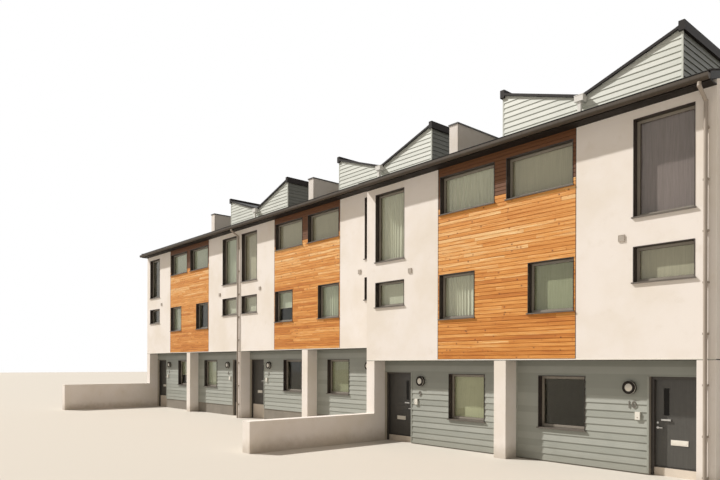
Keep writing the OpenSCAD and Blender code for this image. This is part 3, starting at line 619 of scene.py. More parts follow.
# %% Dress the solids
DRESS = {
    "white_render": "party_fins render_walls rear_walls party_upstands garden_walls",
    "parge_coat": "party_walls",
    "plinth_grey": "ground_front_walls",
    "step_stone": "door_steps",
    "room_floor": "ground_floors first_floors second_floors attic_floors",
    "plain_sheathing": "timber_walls door_head_walls "
                       "box_front_walls box_side_walls box_rear_walls",
    "dark_stain_and_shade": "overhang_soffits eaves_boards box_fascias",
    "roof_membrane": "main_roofs box_roofs",
    "gutter_grey": "gutters",
    "pipe_grey": "downpipes",
    "hopper_white": "valley_hoppers",
    "coping_grey": "upstand_copings",
    "sill_grey": "window_sills",
    "dark_bronze_and_shade": "window_liners",
    "frame_bronze": "front_window_frames rear_window_frames",
    "window_pane": "front_window_glass rear_window_glass",
    "frame_grey": "door_frames",
    "pale_plastic": "bell_boxes door_lamps",
    "vent_grey": "wall_vents",
}


def dress(node, name):
    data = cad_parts[node].data
    data.materials.clear()
    data.materials.append(FINISHES[name])


for name, nodes in DRESS.items():
    for node in nodes.split():
        dress(node, name)
for h in range(1, HOUSES + 1):
    dress(f"door_leaf_{h}", "door_grey")
    dress(f"door_fittings_{h}", "door_steel")
print("dressed", sum(len(n.split()) for n in DRESS.values()) + 2 * HOUSES)

# %% [markdown]
# Boards, tiles and beads are all the same kind of thing: a small section carried along a
# straight line. A Face is a plane to lay them on, with a along it, d out of it and z up.

# %% Faces


class Face:
    def __init__(self, corner, along, out, up=(0, 0, 1)):
        self.corner = Vector(corner)
        self.along = Vector(along)
        self.out = Vector(out)
        self.up = Vector(up)

    def at(self, a, d, z):
        return self.corner + self.along * a + self.out * d + self.up * z


def wall(h, depth, out, way=1):
    """A wall of house h, with a from the pair's shared line to the side that way gives. out is
    -1 for a wall that looks to the street and 1 for one that looks to the rear."""
    y, z = block_yz(h)
    return Face((pair_x(h), y + depth, z), (way, 0, 0), (0, out, 0))


print("a place on a face", tuple(Face((0, 0, 0), (1, 0, 0), (0, -1, 0)).at(2.0, 0.5, 1.0)))

# %% [markdown]
# A Pile gathers hundreds of such pieces into one mesh, which Blender handles far better than
# hundreds of objects. A bar's ends may lean, for boards cut to a sloping roof. Every point
# carries a number from 0 to 1, from which the finishes take each board's own tone.

# %% Piles
PLAIN = 0.5


class Pile:
    def __init__(self):
        self.points = []
        self.faces = []
        self.numbers = []

    def solid(self, low_ring, high_ring, number):
        first = len(self.points)
        n = len(low_ring)
        self.points += low_ring + high_ring
        self.numbers += [number] * (2 * n)
        self.faces.append(tuple(range(first, first + n)))
        self.faces.append(tuple(range(first + 2 * n - 1, first + n - 1, -1)))
        for i in range(n):
            j = (i + 1) % n
            self.faces.append((first + i, first + n + i, first + n + j, first + j))

    def bar(self, face, section, start, end, number=PLAIN):
        """Carries a section of (d, z) points from start to end. An end may be a pair of
        places, at the section's foot and at its top."""
        feet = [z for d, z in section]
        low, high = min(feet), max(feet)

        def ring(place):
            foot, top = place if isinstance(place, tuple) else (place, place)
            return [face.at(foot + (top - foot) * (z - low) / (high - low), d, z)
                    for d, z in section]

        self.solid(ring(start), ring(end), number)

    def block(self, face, a0, a1, d0, d1, z0, z1):
        self.bar(face, [(d0, z0), (d1, z0), (d1, z1), (d0, z1)], a0, a1)

    def make(self, name, finish_name, body="building", bevel=0.0):
        mesh = bpy.data.meshes.new(name)
        mesh.from_pydata(self.points, [], self.faces)
        marks = mesh.attributes.new("board", "FLOAT", "POINT")
        marks.data.foreach_set("value", self.numbers)
        work = bmesh.new()
        work.from_mesh(mesh)
        bmesh.ops.recalc_face_normals(work, faces=work.faces)
        work.to_mesh(mesh)
        work.free()
        mesh.materials.append(FINISHES[finish_name])
        mesh.shade_flat()
        piece = bpy.data.objects.new(name, mesh)
        scene.collection.objects.link(piece)
        if bevel:
            edge = piece.modifiers.new("soft_edges", "BEVEL")
            edge.width = bevel
            edge.segments = 2
            edge.limit_method = "ANGLE"
        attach(piece, body)
        print(name, len(self.faces), "faces")
        return piece


print("a pile can", [n for n in vars(Pile) if "__" not in n])

# %% [markdown]
# A window cuts boards short, and a board that meets its head or sill is notched round it.
# This function splits one board's rectangle at the windows and gives back what is left.

# %% Splitting a board at windows
LEAST_STRIP = 0.004


def left_of(a0, a1, z0, z1, windows):
    edges = {a0, a1}
    for w in windows:
        edges |= {e for e in w[:2] if a0 < e < a1}
    cuts = sorted(edges)
    pieces = []
    for a, b in zip(cuts, cuts[1:]):
        spans = [(z0, z1)]
        for w in windows:
            if w[0] < (a + b) / 2 < w[1]:
                spans = [(max(s0, x), min(s1, y)) for s0, s1 in spans
                         for x, y in ((s0, w[2]), (w[3], s1))]
        for s0, s1 in spans:
            if s1 - s0 < LEAST_STRIP:
                continue
            if pieces and pieces[-1][1:] == (a, s0, s1):
                pieces[-1] = (pieces[-1][0], b, s0, s1)
            else:
                pieces.append((a, b, s0, s1))
    return pieces


print(left_of(0.0, 3.0, 0.0, 0.1, [(1.0, 2.0, 0.05, 2.0)]))

# %% [markdown]
# The larch is laid as tongued boards of 97 mm, with a narrow channel along each foot that
# stays in shadow and draws the lines across the panel. Boards come in random lengths, and
# their joints fall where they may. The boards fill the 25 mm that the plain skin of the solid
# model holds, so they replace it, on the front and on the rear of each pair.

# %% Larch boards
SKIN = 0.025
LARCH_COVER = 0.097
CHANNEL_H = 0.014
CHANNEL_D = 0.018
ARRIS = 0.002
PANEL = 2.11
EDGE_STRIP = 0.018
BOARD_LENGTHS = (1.4, 3.4)
# The top zone, under the eaves, gets the numbers below 0.06 that the larch finish darkens as
# painted shade.
ZONES = [(6.66, (0.0, 0.06)), (5.0, (0.35, 1.0)), (3.0, (0.08, 0.74)), (0.0, (0.1, 0.7))]
JOINT = 0.002
PROUD = 0.0012


def larch_section(foot, low, high, face_d):
    if high - low < 3 * CHANNEL_H:
        return [(0, low), (face_d, low), (face_d, high), (0, high)]
    section = [(0, low)]
    if low == foot:
        section += [(SKIN - CHANNEL_D, low), (SKIN - CHANNEL_D, low + CHANNEL_H),
                    (face_d - ARRIS, low + CHANNEL_H), (face_d, low + CHANNEL_H + ARRIS)]
    else:
        section += [(face_d, low)]
    return section + [(face_d, high - ARRIS), (face_d - ARRIS, high), (0, high)]


def lay_larch(pile, face, a0, a1, z0, z1, windows):
    z = z0
    while z < z1 - CHANNEL_H:
        top = min(z + LARCH_COVER, z1)
        a = a0 - random.uniform(0.0, BOARD_LENGTHS[0])
        while a < a1:
            b = a + random.uniform(*BOARD_LENGTHS)
            number = random.uniform(*next(span for foot, span in ZONES if z >= foot))
            face_d = SKIN - random.uniform(0.0, PROUD)
            start = max(a, a0)
            end = min(b - JOINT, a1)
            if end - start > 4 * JOINT:
                for x0, x1, s0, s1 in left_of(start, end, z, top, windows):
                    pile.bar(face, larch_section(z, s0, s1, face_d), x0, x1, number)
            a = b
        z = top


whole = larch_section(0.0, 0.0, LARCH_COVER, SKIN)
print("larch section", [(round(d, 3), round(z, 3)) for d, z in whole])

# %% [markdown]
# One panel stands on the front of each pair and one on its rear. Both start just above the
# foot of the overhang. The front one runs up behind the boxed eaves, the rear one to them.

# %% Larch panels
PANEL_FOOT = OVERHANG_Z + 0.012
PANEL_REACH = PANEL - EDGE_STRIP
FRONT_TOP = EAVES_Z + 0.10

larch = Pile()
for h in PAIR_HOUSES:
    for face, top, windows in ((wall(h, SKIN, -1), FRONT_TOP, LARCH_WINDOWS),
                               (wall(h, DEPTH, 1), EAVES_Z, REAR_INNER)):
        lay_larch(larch, face, -PANEL_REACH, PANEL_REACH, PANEL_FOOT, top,
                  mirrored(with_sills(windows)))
larch_boards = larch.make("larch_boards", "larch_boards")
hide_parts("larch_cladding")

# %% [markdown]
# Lap boards lean: each one's foot stands out over the head of the board below, and throws the
# dark shadow line that marks this kind of boarding. The section is a long wedge, 18 mm thick
# at its foot and 4 mm at its head.

# %% Lap boards
LAP_COVER = 0.165
LAP_OVER = 0.020
LAP_FOOT = 0.018
LAP_HEAD = 0.004
LAP_LEAN = 0.125
ROW_TONES = [random.random() for row in range(60)]


def lap_section(foot, low, high):
    def front(z):
        return SKIN - LAP_LEAN * (z - foot)

    def back(z):
        rise = (z - foot) / (LAP_COVER + LAP_OVER)
        return front(z) - LAP_FOOT - (LAP_HEAD - LAP_FOOT) * rise

    return [(front(low), low), (front(high), high), (back(high), high), (back(low), low)]


def lay_laps(pile, face, a0, a1, z0, z1, windows, limits=None):
    """limits gives the two ends that a row keeps between two heights, for sloping edges. A
    row's tone goes by its height, so that the two halves of a wall match."""
    z = z0
    while z < z1 - LAP_OVER:
        top = min(z + LAP_COVER + LAP_OVER, z1)
        number = ROW_TONES[int(z / LAP_COVER) % len(ROW_TONES)]
        for x0, x1, s0, s1 in left_of(a0, a1, z, top, windows):
            ends = limits(x0, x1, s0, s1) if limits else (x0, x1)
            if ends:
                pile.bar(face, lap_section(z, s0, s1), *ends, number)
        z += LAP_COVER


whole = lap_section(0.0, 0.0, LAP_COVER + LAP_OVER)
print("lap section", [(round(d, 4), round(z, 3)) for d, z in whole])

# %% [markdown]
# The ground storey has these boards on the front and the rear. A vertical strip closes them
# at each corner, and another stands beside each door frame. The opening given for a door
# reaches past the end of the wall, so that no sliver of board is left beyond it.

# %% Lap boards on the ground storey
CORNER_STRIP = 0.045
CLAD_FOOT = 0.03
DOOR_C = 3.58
DOOR_TOP = 2.13
DOOR_STRIP_OUT = 0.004
SOFFIT_Z = OVERHANG_Z - 0.023
PAST = 1.0

laps = Pile()
strips = Pile()
inner, outer = PARTY / 2, HOUSE - PARTY / 2
for h in range(1, HOUSES + 1):
    front = wall(h, RECESS + SKIN, -1, side(h))
    rear = wall(h, DEPTH, 1, side(h))
    door = [(DOOR_C - CORNER_STRIP, outer + PAST, -PAST, DOOR_TOP)]
    lay_laps(laps, front, inner + CORNER_STRIP, outer, CLAD_FOOT, SOFFIT_Z,
             with_sills(GROUND_WINDOWS) + door)
    lay_laps(laps, rear, inner + CORNER_STRIP, outer - CORNER_STRIP, CLAD_FOOT, OVERHANG_Z,
             with_sills([REAR_INNER[0], REAR_OUTER[0]]))
    strips.block(front, inner, inner + CORNER_STRIP, 0, SKIN, CLAD_FOOT, SOFFIT_Z)
    strips.block(front, DOOR_C - CORNER_STRIP, DOOR_C, 0, SKIN + DOOR_STRIP_OUT,
                 CLAD_FOOT, DOOR_TOP)
    strips.block(rear, inner, inner + CORNER_STRIP, 0, SKIN, CLAD_FOOT, OVERHANG_Z)
    strips.block(rear, outer - CORNER_STRIP, outer, 0, SKIN, CLAD_FOOT, OVERHANG_Z)
ground_boards = laps.make("ground_lap_boards", "ground_lap_paint")
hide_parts("ground_cladding")
strips.make("board_corner_strips", "ground_lap_paint", bevel=0.002)

# %% [markdown]
# Two roofs cut what follows: the main roof, which rises to a ridge in the middle of the depth,
# and the V over each roof box. The main roof is written as the height of its top at a depth y
# in the house, and the V as the height of its underside at a distance c from the party line.

# %% Heights of the roofs
SLOPE = math.tan(math.radians(17.5))
V_SLOPE = math.tan(math.radians(18.6))
EAVES_OUT = 0.325
ROOF_T = 0.15
HEEL = 0.02 + EAVES_OUT * SLOPE
BOX_Y = 3.97
BOX_HALF = 2.85
VALLEY_Z = 10.34
V_THICK = 0.08
BOX_OVER = 0.06
V_EDGE = BOX_HALF + BOX_OVER
KERB_C = BOX_HALF - 0.10
KERB_TOP = VALLEY_Z + V_EDGE * V_SLOPE + 0.065
KERB_FOOT = KERB_TOP - 0.26
RIDGE_Y = DEPTH / 2


def roof_top(y):
    return EAVES_Z + HEEL + min(y, DEPTH - y) * SLOPE + ROOF_T


def v_under(c):
    return VALLEY_Z - V_THICK + abs(c) * V_SLOPE


RIDGE_TOP = roof_top(RIDGE_Y)
print("ridge", round(RIDGE_TOP, 3), "box eaves", round(KERB_FOOT, 3), "to", round(KERB_TOP, 3))

# %% [markdown]
# The roof boxes have the same lap boards. On the front and rear the rows are cut to the slope
# of the V, and they stop under the boxed eaves along each side. The rows on the cheeks stop
# where the main roof rises past them, in front of its ridge and again behind it. The three
# functions below cut one row each, and give None where nothing of it is left.

# %% Rows cut by a roof
LEAST_LENGTH = 0.02


def under_v(x0, x1, s0, s1):
    """Keeps the part of a half row that lies under the V, from the valley outwards."""
    def edge(z):
        return max(x0, (z - VALLEY_Z + V_THICK) / V_SLOPE)

    if edge(s0) >= x1:
        return None
    return (edge(s0), min(edge(s1), x1)), x1


def beside_roof(x0, x1, s0, s1):
    """The cheek above the front slope, and the whole of a row above the ridge."""
    if s1 > RIDGE_TOP:
        return x0, x1
    reach = RIDGE_Y - (RIDGE_TOP - s1) / SLOPE
    return (x0, reach) if reach > x0 + LEAST_LENGTH and x0 < RIDGE_Y else None


def behind_ridge(x0, x1, s0, s1):
    """The cheek above the rear slope."""
    if s1 > RIDGE_TOP:
        return None
    reach = RIDGE_Y + (RIDGE_TOP - s1) / SLOPE
    return (reach, x1) if reach < x1 - LEAST_LENGTH else None


print("a cheek row", [round(a, 3) for a in beside_roof(BOX_Y, DEPTH, 9.4, 9.5)])

# %% [markdown]
# Each box is laid in two halves that mirror each other. The front and rear start at the main
# roof, which rises at the front and falls again at the rear, so the rear wall starts lower
# down and the cheeks get ten more rows behind the ridge.

# %% Boards on the roof boxes
UNDER = 0.002
FRONT_FOOT = roof_top(BOX_Y) - 0.02
REAR_FOOT = EAVES_Z + 0.01
CHEEK_TOP = KERB_FOOT - UNDER
BOX_TOP = v_under(KERB_C) - UNDER
BOX_EDGE = BOX_HALF - CORNER_STRIP
CHEEK_ENDS = (BOX_Y + CORNER_STRIP, DEPTH - CORNER_STRIP)
CHEEK_STRIP_IN = 0.001
ROWS_BEHIND = 10

box_laps = Pile()
cheek_laps = Pile()
box_strips = Pile()
kerb = [(KERB_C - UNDER, BOX_HALF + PAST, CHEEK_TOP, KERB_TOP)]
for h in PAIR_HOUSES:
    y, z = block_yz(h)
    for s in (-1, 1):
        front = wall(h, BOX_Y + SKIN, -1, s)
        rear = wall(h, DEPTH - SKIN, 1, s)
        cheek = Face((pair_x(h) + s * (BOX_HALF - SKIN), y, z), (0, 1, 0), (s, 0, 0))
        lay_laps(box_laps, front, 0.0, BOX_EDGE, FRONT_FOOT, BOX_TOP, kerb, under_v)
        lay_laps(box_laps, rear, 0.0, BOX_EDGE, REAR_FOOT, BOX_TOP,
                 with_sills(ATTIC_WINDOWS) + kerb, under_v)
        for foot, cut in ((FRONT_FOOT, beside_roof),
                          (FRONT_FOOT - ROWS_BEHIND * LAP_COVER, behind_ridge)):
            lay_laps(cheek_laps, cheek, *CHEEK_ENDS, foot, CHEEK_TOP, [], cut)
        for face, foot in ((front, FRONT_FOOT), (rear, REAR_FOOT)):
            box_strips.block(face, BOX_EDGE, BOX_HALF, 0, SKIN, foot, CHEEK_TOP)
        for a, b, foot in ((BOX_Y + SKIN, CHEEK_ENDS[0], FRONT_FOOT),
                           (CHEEK_ENDS[1], DEPTH - SKIN, REAR_FOOT)):
            box_strips.block(cheek, a, b, 0, SKIN - CHEEK_STRIP_IN, foot, CHEEK_TOP)
box_boards = box_laps.make("box_lap_boards", "box_lap_paint")
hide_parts("box_cladding")
cheek_laps.make("box_cheek_boards", "cheek_lap_paint")
box_strips.make("box_corner_strips", "box_lap_paint", bevel=0.002)

# %% [markdown]
# Trims: a thin dark strip stands between the larch and the render, its dark bronze partly
# painted shade for the shadow in that joint, and a pale metal bead runs along the foot of
# both, where rain drips off clear of the recess.

# %% Trims round the panels
TRIM_IN = 0.003
DRIP = [(-0.01, -0.012), (0.004, -0.012), (0.006, 0.012), (0.0, 0.016)]

dark_trim = Pile()
drip = Pile()
for h in PAIR_HOUSES:
    for face, top in ((wall(h, SKIN, -1), FRONT_TOP), (wall(h, DEPTH, 1), EAVES_Z)):
        for a in (-PANEL, PANEL_REACH):
            dark_trim.block(face, a, a + EDGE_STRIP, 0, SKIN - TRIM_IN, OVERHANG_Z, top)
for first, last, h in ((0, LEFT_HOUSES, 1), (LEFT_HOUSES, HOUSES, HOUSES)):
    y, z = block_yz(h)
    face = Face((0, y, z), (1, 0, 0), (0, -1, 0))
    end = line_x(last) + (PARTY / 2 if last == HOUSES else -PARTY / 2)
    drip.bar(face, [(d, OVERHANG_Z + rise) for d, rise in DRIP], line_x(first) - PARTY / 2, end)
dark_trim.make("larch_edge_strips", "dark_bronze_and_shade")
drip.make("drip_beads", "pale_plastic")

# %% [markdown]
# The roof covering is laid on the two slopes of each block. A slope is a Face that leans: d
# stands square to the roof, and z runs up it from the eaves.

# %% Slopes of the main roof
SLOPE_COS = math.cos(math.atan(SLOPE))
SLOPE_SIN = math.sin(math.atan(SLOPE))
SLOPE_LENGTH = (RIDGE_Y + EAVES_OUT) / SLOPE_COS


def slope_face(h, rear):
    """The top of a main roof, with a along the row, d off the roof and z up the slope."""
    y, z = block_yz(h)
    way = -1 if rear else 1
    y_eaves = y + (DEPTH + EAVES_OUT if rear else -EAVES_OUT)
    return Face((0, y_eaves, z + roof_top(-EAVES_OUT)), (1, 0, 0),
                (0, -way * SLOPE_SIN, SLOPE_COS), (0, way * SLOPE_COS, SLOPE_SIN))


def up_slope(y, rear=False):
    """How far up the slope a place at depth y in the house lies."""
    return ((DEPTH - y if rear else y) + EAVES_OUT) / SLOPE_COS


print("each slope is", round(SLOPE_LENGTH, 3), "m long")

# %% [markdown]
# Tiles are laid in courses, 340 mm apart. They are cut to fit the roof boxes and the
# upstands, so each course first finds the spans that these leave clear.

# %% What cuts a course of tiles
GAUGE = 0.34
BOX_CLEAR = 0.004
UPSTAND = (3.91, 6.31)
UPSTAND_HALF = 0.19
END_UPSTAND_IN = 0.2


def clear_spans(x0, x1, blocked):
    spans = [(x0, x1)]
    for b0, b1 in blocked:
        spans = [(max(s0, p), min(s1, q)) for s0, s1 in spans for p, q in ((s0, b0), (b1, s1))]
        spans = [s for s in spans if s[1] - s[0] > LEAST_LENGTH]
    return spans


def taken(depth_in):
    """What boxes and upstands take from the course whose middle lies at this depth."""
    spans = []
    for n in range(HOUSES + 1):
        x = line_x(n)
        if n % 2 and BOX_Y < depth_in + GAUGE / 2:
            spans.append((x - BOX_HALF - BOX_CLEAR, x + BOX_HALF + BOX_CLEAR))
        if n % 2 == 0 and UPSTAND[0] - GAUGE / 2 < depth_in < UPSTAND[1] + GAUGE / 2:
            half = UPSTAND_HALF + (END_UPSTAND_IN if n in (0, HOUSES) else 0.0)
            spans.append((x - half, x + half))
    return spans


beside_boxes = clear_spans(-ROW_END, ROW_END, taken(BOX_Y))
print("a course beside the boxes has", len(beside_boxes), "spans")

# %% [markdown]
# The covering is flat interlocking tiles, 330 mm wide, with every other course half a tile
# over. From the street no slope can be seen, so their kind is a guess. A tile is a thin wedge,
# 12 mm thick at its foot and 4 mm at its head, and its foot leans on the tile below. A course
# is laid from the left, and the tiles at the ends of each span are cut.

# %% Laying tiles
TILE_W = 0.33
TILE_OVER = 0.075
TILE_LIFT = 0.030
TILE_T = 0.012
TILE_LEAN = 0.035
TILE_GAP = 0.003
TILE_HANG = 0.045
HEAD_THINNER = 0.008
HEAD_CLEAR = 0.01
LEAST_TILE = 0.015
LEAST_COURSE = 0.05


def tile_section(foot, head):
    drop = TILE_LEAN * (head - foot)
    return [(TILE_LIFT - TILE_T, foot), (TILE_LIFT, foot),
            (TILE_LIFT - drop, head), (TILE_LIFT - TILE_T - drop + HEAD_THINNER, head)]


def lay_tiles(pile, h, x_start, x_end, rear):
    face = slope_face(h, rear)
    s = -TILE_HANG
    course = 0
    while s < SLOPE_LENGTH - LEAST_COURSE:
        head = min(s + GAUGE + TILE_OVER, SLOPE_LENGTH - HEAD_CLEAR)
        local = (s + GAUGE / 2) * SLOPE_COS - EAVES_OUT
        depth_in = DEPTH - local if rear else local
        start = x_start(depth_in)
        for b0, b1 in clear_spans(start, x_end(depth_in), taken(depth_in)):
            x = b0 - (course % 2) * TILE_W / 2
            x -= (b0 - start) % TILE_W
            while x < b1:
                t0, t1 = max(x, b0), min(x + TILE_W - TILE_GAP, b1)
                if t1 - t0 > LEAST_TILE:
                    pile.bar(face, tile_section(s, head), t0, t1, random.random())
                x += TILE_W
        s += GAUGE
        course += 1


print("courses on a slope", math.ceil((SLOPE_LENGTH - LEAST_COURSE + TILE_HANG) / GAUGE))

# %% [markdown]
# The row's ends are straight. At the step between the blocks a roof covers the shared party
# wall only where the other block's roof isn't in its way: the left roof does so from just
# inside its front wall, and the right one up to the left block's front.

# %% Main roof tiles
LEFT_ACROSS_FROM = 0.45
RIGHT_ACROSS_TO = STEP_BACK + 0.16
step_x = line_x(LEFT_HOUSES)
step_left, step_right = step_x - PARTY / 2, step_x + PARTY / 2
tiles = Pile()


def row_start(y):
    return -ROW_END


def row_end(y):
    return ROW_END


def left_end(y):
    return step_right if y > LEFT_ACROSS_FROM else step_left


def right_start(y):
    return step_right if y > RIGHT_ACROSS_TO else step_left


for rear in (False, True):
    lay_tiles(tiles, 1, row_start, left_end, rear)
    lay_tiles(tiles, HOUSES, right_start, row_end, rear)
tiles.make("main_roof_tiles", "roof_tile")

# %% [markdown]
# Half-round tiles cap the ridge between the boxes, a little flattened, and a strip holds the
# tiles down at each verge.

# %% Ridge and verges
RIDGE_R = 0.125
RIDGE_T = 0.012
RIDGE_LONG = 0.45
RIDGE_FLAT = 0.6
VERGE_W = 0.05
VERGE_H = 0.045
RIDGE_SINK = 0.012
RIDGE_GAP = 0.003
RIDGE_OFF_BOX = 0.02
RIDGE_OFF_UPSTAND = 0.01
END_CLEAR = 0.4
VERGE_END = SLOPE_LENGTH - 0.02
HALF_TURN = [math.pi * i / 12 for i in range(13)]


def ridge_section():
    def arch(r):
        return [(r * math.cos(t), RIDGE_TOP - RIDGE_SINK + RIDGE_FLAT * r * math.sin(t))
                for t in HALF_TURN]

    return arch(RIDGE_R) + arch(RIDGE_R - RIDGE_T)[::-1]


ridge = Pile()
verges = Pile()
for h, start, end in ((1, -ROW_END, step_right), (HOUSES, step_right, ROW_END)):
    y, z = block_yz(h)
    top = Face((0, y + RIDGE_Y, z), (1, 0, 0), (0, -1, 0))
    blocked = [(-ROW_END, -ROW_END + END_CLEAR), (ROW_END - END_CLEAR, ROW_END)]
    for n in range(HOUSES + 1):
        half = BOX_HALF + RIDGE_OFF_BOX if n % 2 else UPSTAND_HALF + RIDGE_OFF_UPSTAND
        blocked.append((line_x(n) - half, line_x(n) + half))
    for x0, x1 in clear_spans(start, end, blocked):
        count = max(1, round((x1 - x0) / RIDGE_LONG))
        step = (x1 - x0) / count
        for i in range(count):
            a = x0 + i * step
            ridge.bar(top, ridge_section(), a + RIDGE_GAP, a + step - RIDGE_GAP,
                      random.random())
    for rear in (False, True):
        face = slope_face(h, rear)
        for x in (start, end - VERGE_W):
            if abs(x) > ROW_END - 2 * VERGE_W:
                verges.block(face, x, x + VERGE_W, 0.0, VERGE_H, 0.0, VERGE_END)
ridge.make("ridge_tiles", "roof_tile", bevel=0.002)
verges.make("verge_strips", "dark_plastic", bevel=0.003)

# %% [markdown]
# Lead covers the joints where the tiles meet a box or an upstand: an apron below it, and a
# strip up each side. Lead is thin sheet dressed over the tiles, so each flashing is a flat
# strip just above them. The upstands at the row's ends stand wholly inside the row, so their
# lead is shifted inwards.

# %% Lead
LEAD_T = 0.003
APRON = 0.17
SOAKER = 0.11
APRON_HALF = UPSTAND_HALF + 0.03
OFF_BOX = 0.001
LEAD_FOOT = 0.02
lead_d = (TILE_LIFT, TILE_LIFT + LEAD_T)
ridge_s = SLOPE_LENGTH - HEAD_CLEAR

lead = Pile()
for h in PAIR_HOUSES:
    face, back = slope_face(h, False), slope_face(h, True)
    x = pair_x(h)
    foot = up_slope(BOX_Y)
    lead.block(face, x - BOX_HALF - SOAKER, x + BOX_HALF + SOAKER, *lead_d, foot - APRON, foot)
    for a in (x - BOX_HALF - SOAKER, x + BOX_HALF + OFF_BOX):
        lead.block(face, a, a + SOAKER - OFF_BOX, *lead_d, foot, ridge_s)
        lead.block(back, a, a + SOAKER - OFF_BOX, *lead_d, LEAD_FOOT, ridge_s)
for n in range(0, HOUSES + 1, 2):
    h = max(1, min(n + 1, HOUSES))
    face, back = slope_face(h, False), slope_face(h, True)
    x = line_x(n)
    if n in (0, HOUSES):
        x = math.copysign(ROW_END - APRON_HALF, x)
    near, far = up_slope(UPSTAND[0]), up_slope(UPSTAND[1], True)
    lead.block(face, x - APRON_HALF, x + APRON_HALF, *lead_d, near - APRON, near)
    for way in (-1, 1):
        a = x + way * UPSTAND_HALF
        if abs(a + way * SOAKER) < ROW_END:
            a = min(a, a + way * SOAKER)
            lead.block(face, a, a + SOAKER, *lead_d, near, ridge_s)
            lead.block(back, a, a + SOAKER, *lead_d, far, ridge_s)
lead.make("lead_flashings", "lead_grey")

# %% [markdown]
# The box roofs are covered in a dark membrane. Its sheets are a metre wide and run down to
# the valley, and each laps the next with a welded seam. A second strip lines the valley. The
# white hopper in front takes the water. It has a rolled rim, and two clamps round its pipe.

# %% Membrane seams and hopper rims
SHEET_W = 1.0
SEAM_W = 0.045
SEAM_H = 0.004
VALLEY_STRIP = 0.16
HOPPER_W = 0.28
HOPPER_D = 0.17
HOPPER_H = 0.19
HOPPER_TOP = VALLEY_Z - 0.05
SPOUT_W = 0.10
RIM_H = 0.022
RIM_T = 0.006
CLAMP_H = 0.03
CLAMPS = (0.03, 0.42)
OFF_WALL = 0.001
EDGE_STRIP_W = 0.08
v_cos = math.cos(math.atan(V_SLOPE))
v_end = KERB_C / v_cos
front_y, rear_y = BOX_Y - BOX_OVER, DEPTH + BOX_OVER

seams = Pile()
rims = Pile()
for h in PAIR_HOUSES:
    y, z = block_yz(h)
    x = pair_x(h)
    for s in (-1, 1):
        slope = Face((x, y, z + VALLEY_Z), (0, 1, 0), (-s * v_cos * V_SLOPE, 0, v_cos),
                     (s * v_cos, 0, v_cos * V_SLOPE))
        a = front_y + SHEET_W
        while a < rear_y - SEAM_W:
            seams.block(slope, a, a + SEAM_W, 0.0, SEAM_H, VALLEY_STRIP / 2, v_end)
            a += SHEET_W
        seams.block(slope, front_y, rear_y, 0.0, SEAM_H, 0.0, VALLEY_STRIP)
        seams.block(slope, front_y, rear_y, 0.0, SEAM_H, v_end - EDGE_STRIP_W, v_end)
    rim = Face((x, y + front_y - HOPPER_D, z), (1, 0, 0), (0, -1, 0))
    spout = (HOPPER_D - SPOUT_W) / 2
    bands = [(HOPPER_W / 2, 0.0, -HOPPER_D, HOPPER_TOP - RIM_H, HOPPER_TOP)]
    for at in CLAMPS:
        low = HOPPER_TOP - HOPPER_H - at - CLAMP_H
        bands.append((SPOUT_W / 2, -spout, -HOPPER_D - BOX_OVER + OFF_WALL, low, low + CLAMP_H))
    for half, out, back, low, high in bands:
        rims.block(rim, -half - RIM_T, half + RIM_T, out, out + RIM_T, low, high)
        for s in (-1, 1):
            lo, hi = sorted((s * half, s * (half + RIM_T)))
            rims.block(rim, lo, hi, back, out, low, high)
seams.make("membrane_seams", "roof_membrane")
rims.make("hopper_rims", "hopper_white", bevel=0.0015)

# %% [markdown]
# Gutters: the trough is in the solids. It is half round with upright sides, and everything
# added to it has the same outline, a little larger or smaller.

# %% The outline of a gutter
GUTTER_R = 0.0625
GUTTER_H = 0.12
GUTTER_TOP = EAVES_Z + 0.005 + GUTTER_H
RIM_BELOW = 0.004
IN = 0.001


def trough(r, top, drop):
    """The outline of a half-round trough with upright sides, r on each side of its middle."""
    mid = EAVES_OUT + GUTTER_R
    centre = GUTTER_TOP - GUTTER_H + GUTTER_R
    low = [(mid - r * math.cos(t), centre - (GUTTER_R + drop) * math.sin(t)) for t in HALF_TURN]
    return [(mid - r, top)] + low + [(mid + r, top)]


def sleeve(out):
    """A shell that stands out from the trough by out and reaches just inside it."""
    top = GUTTER_TOP - RIM_BELOW
    return trough(GUTTER_R + out, top, out) + trough(GUTTER_R - IN, top, -IN)[::-1]


print("outline points", len(trough(GUTTER_R, GUTTER_TOP, 0.0)), "in a sleeve", len(sleeve(0.0)))

# %% [markdown]
# A stop end closes each end of a run, a union sleeve joins two lengths every four metres, and
# a strap crosses the top at every bracket. Brackets and unions are only drawn round the
# trough along the front, where they can be seen. At the rear the boxes break the runs.

# %% Gutter parts
STOP_T = 0.004
STRAP_W = 0.022
STRAP_T = 0.002
BRACKET_OUT = 0.003
BRACKET_STEP = 0.95
FIRST_BRACKET = 0.3
UNION_W = 0.085
UNION_OUT = 0.0045
UNION_STEP = 4.0
FIRST_UNION = UNION_STEP - 1.1
LAST_BRACKET = 0.1
LAST_UNION = 1.0

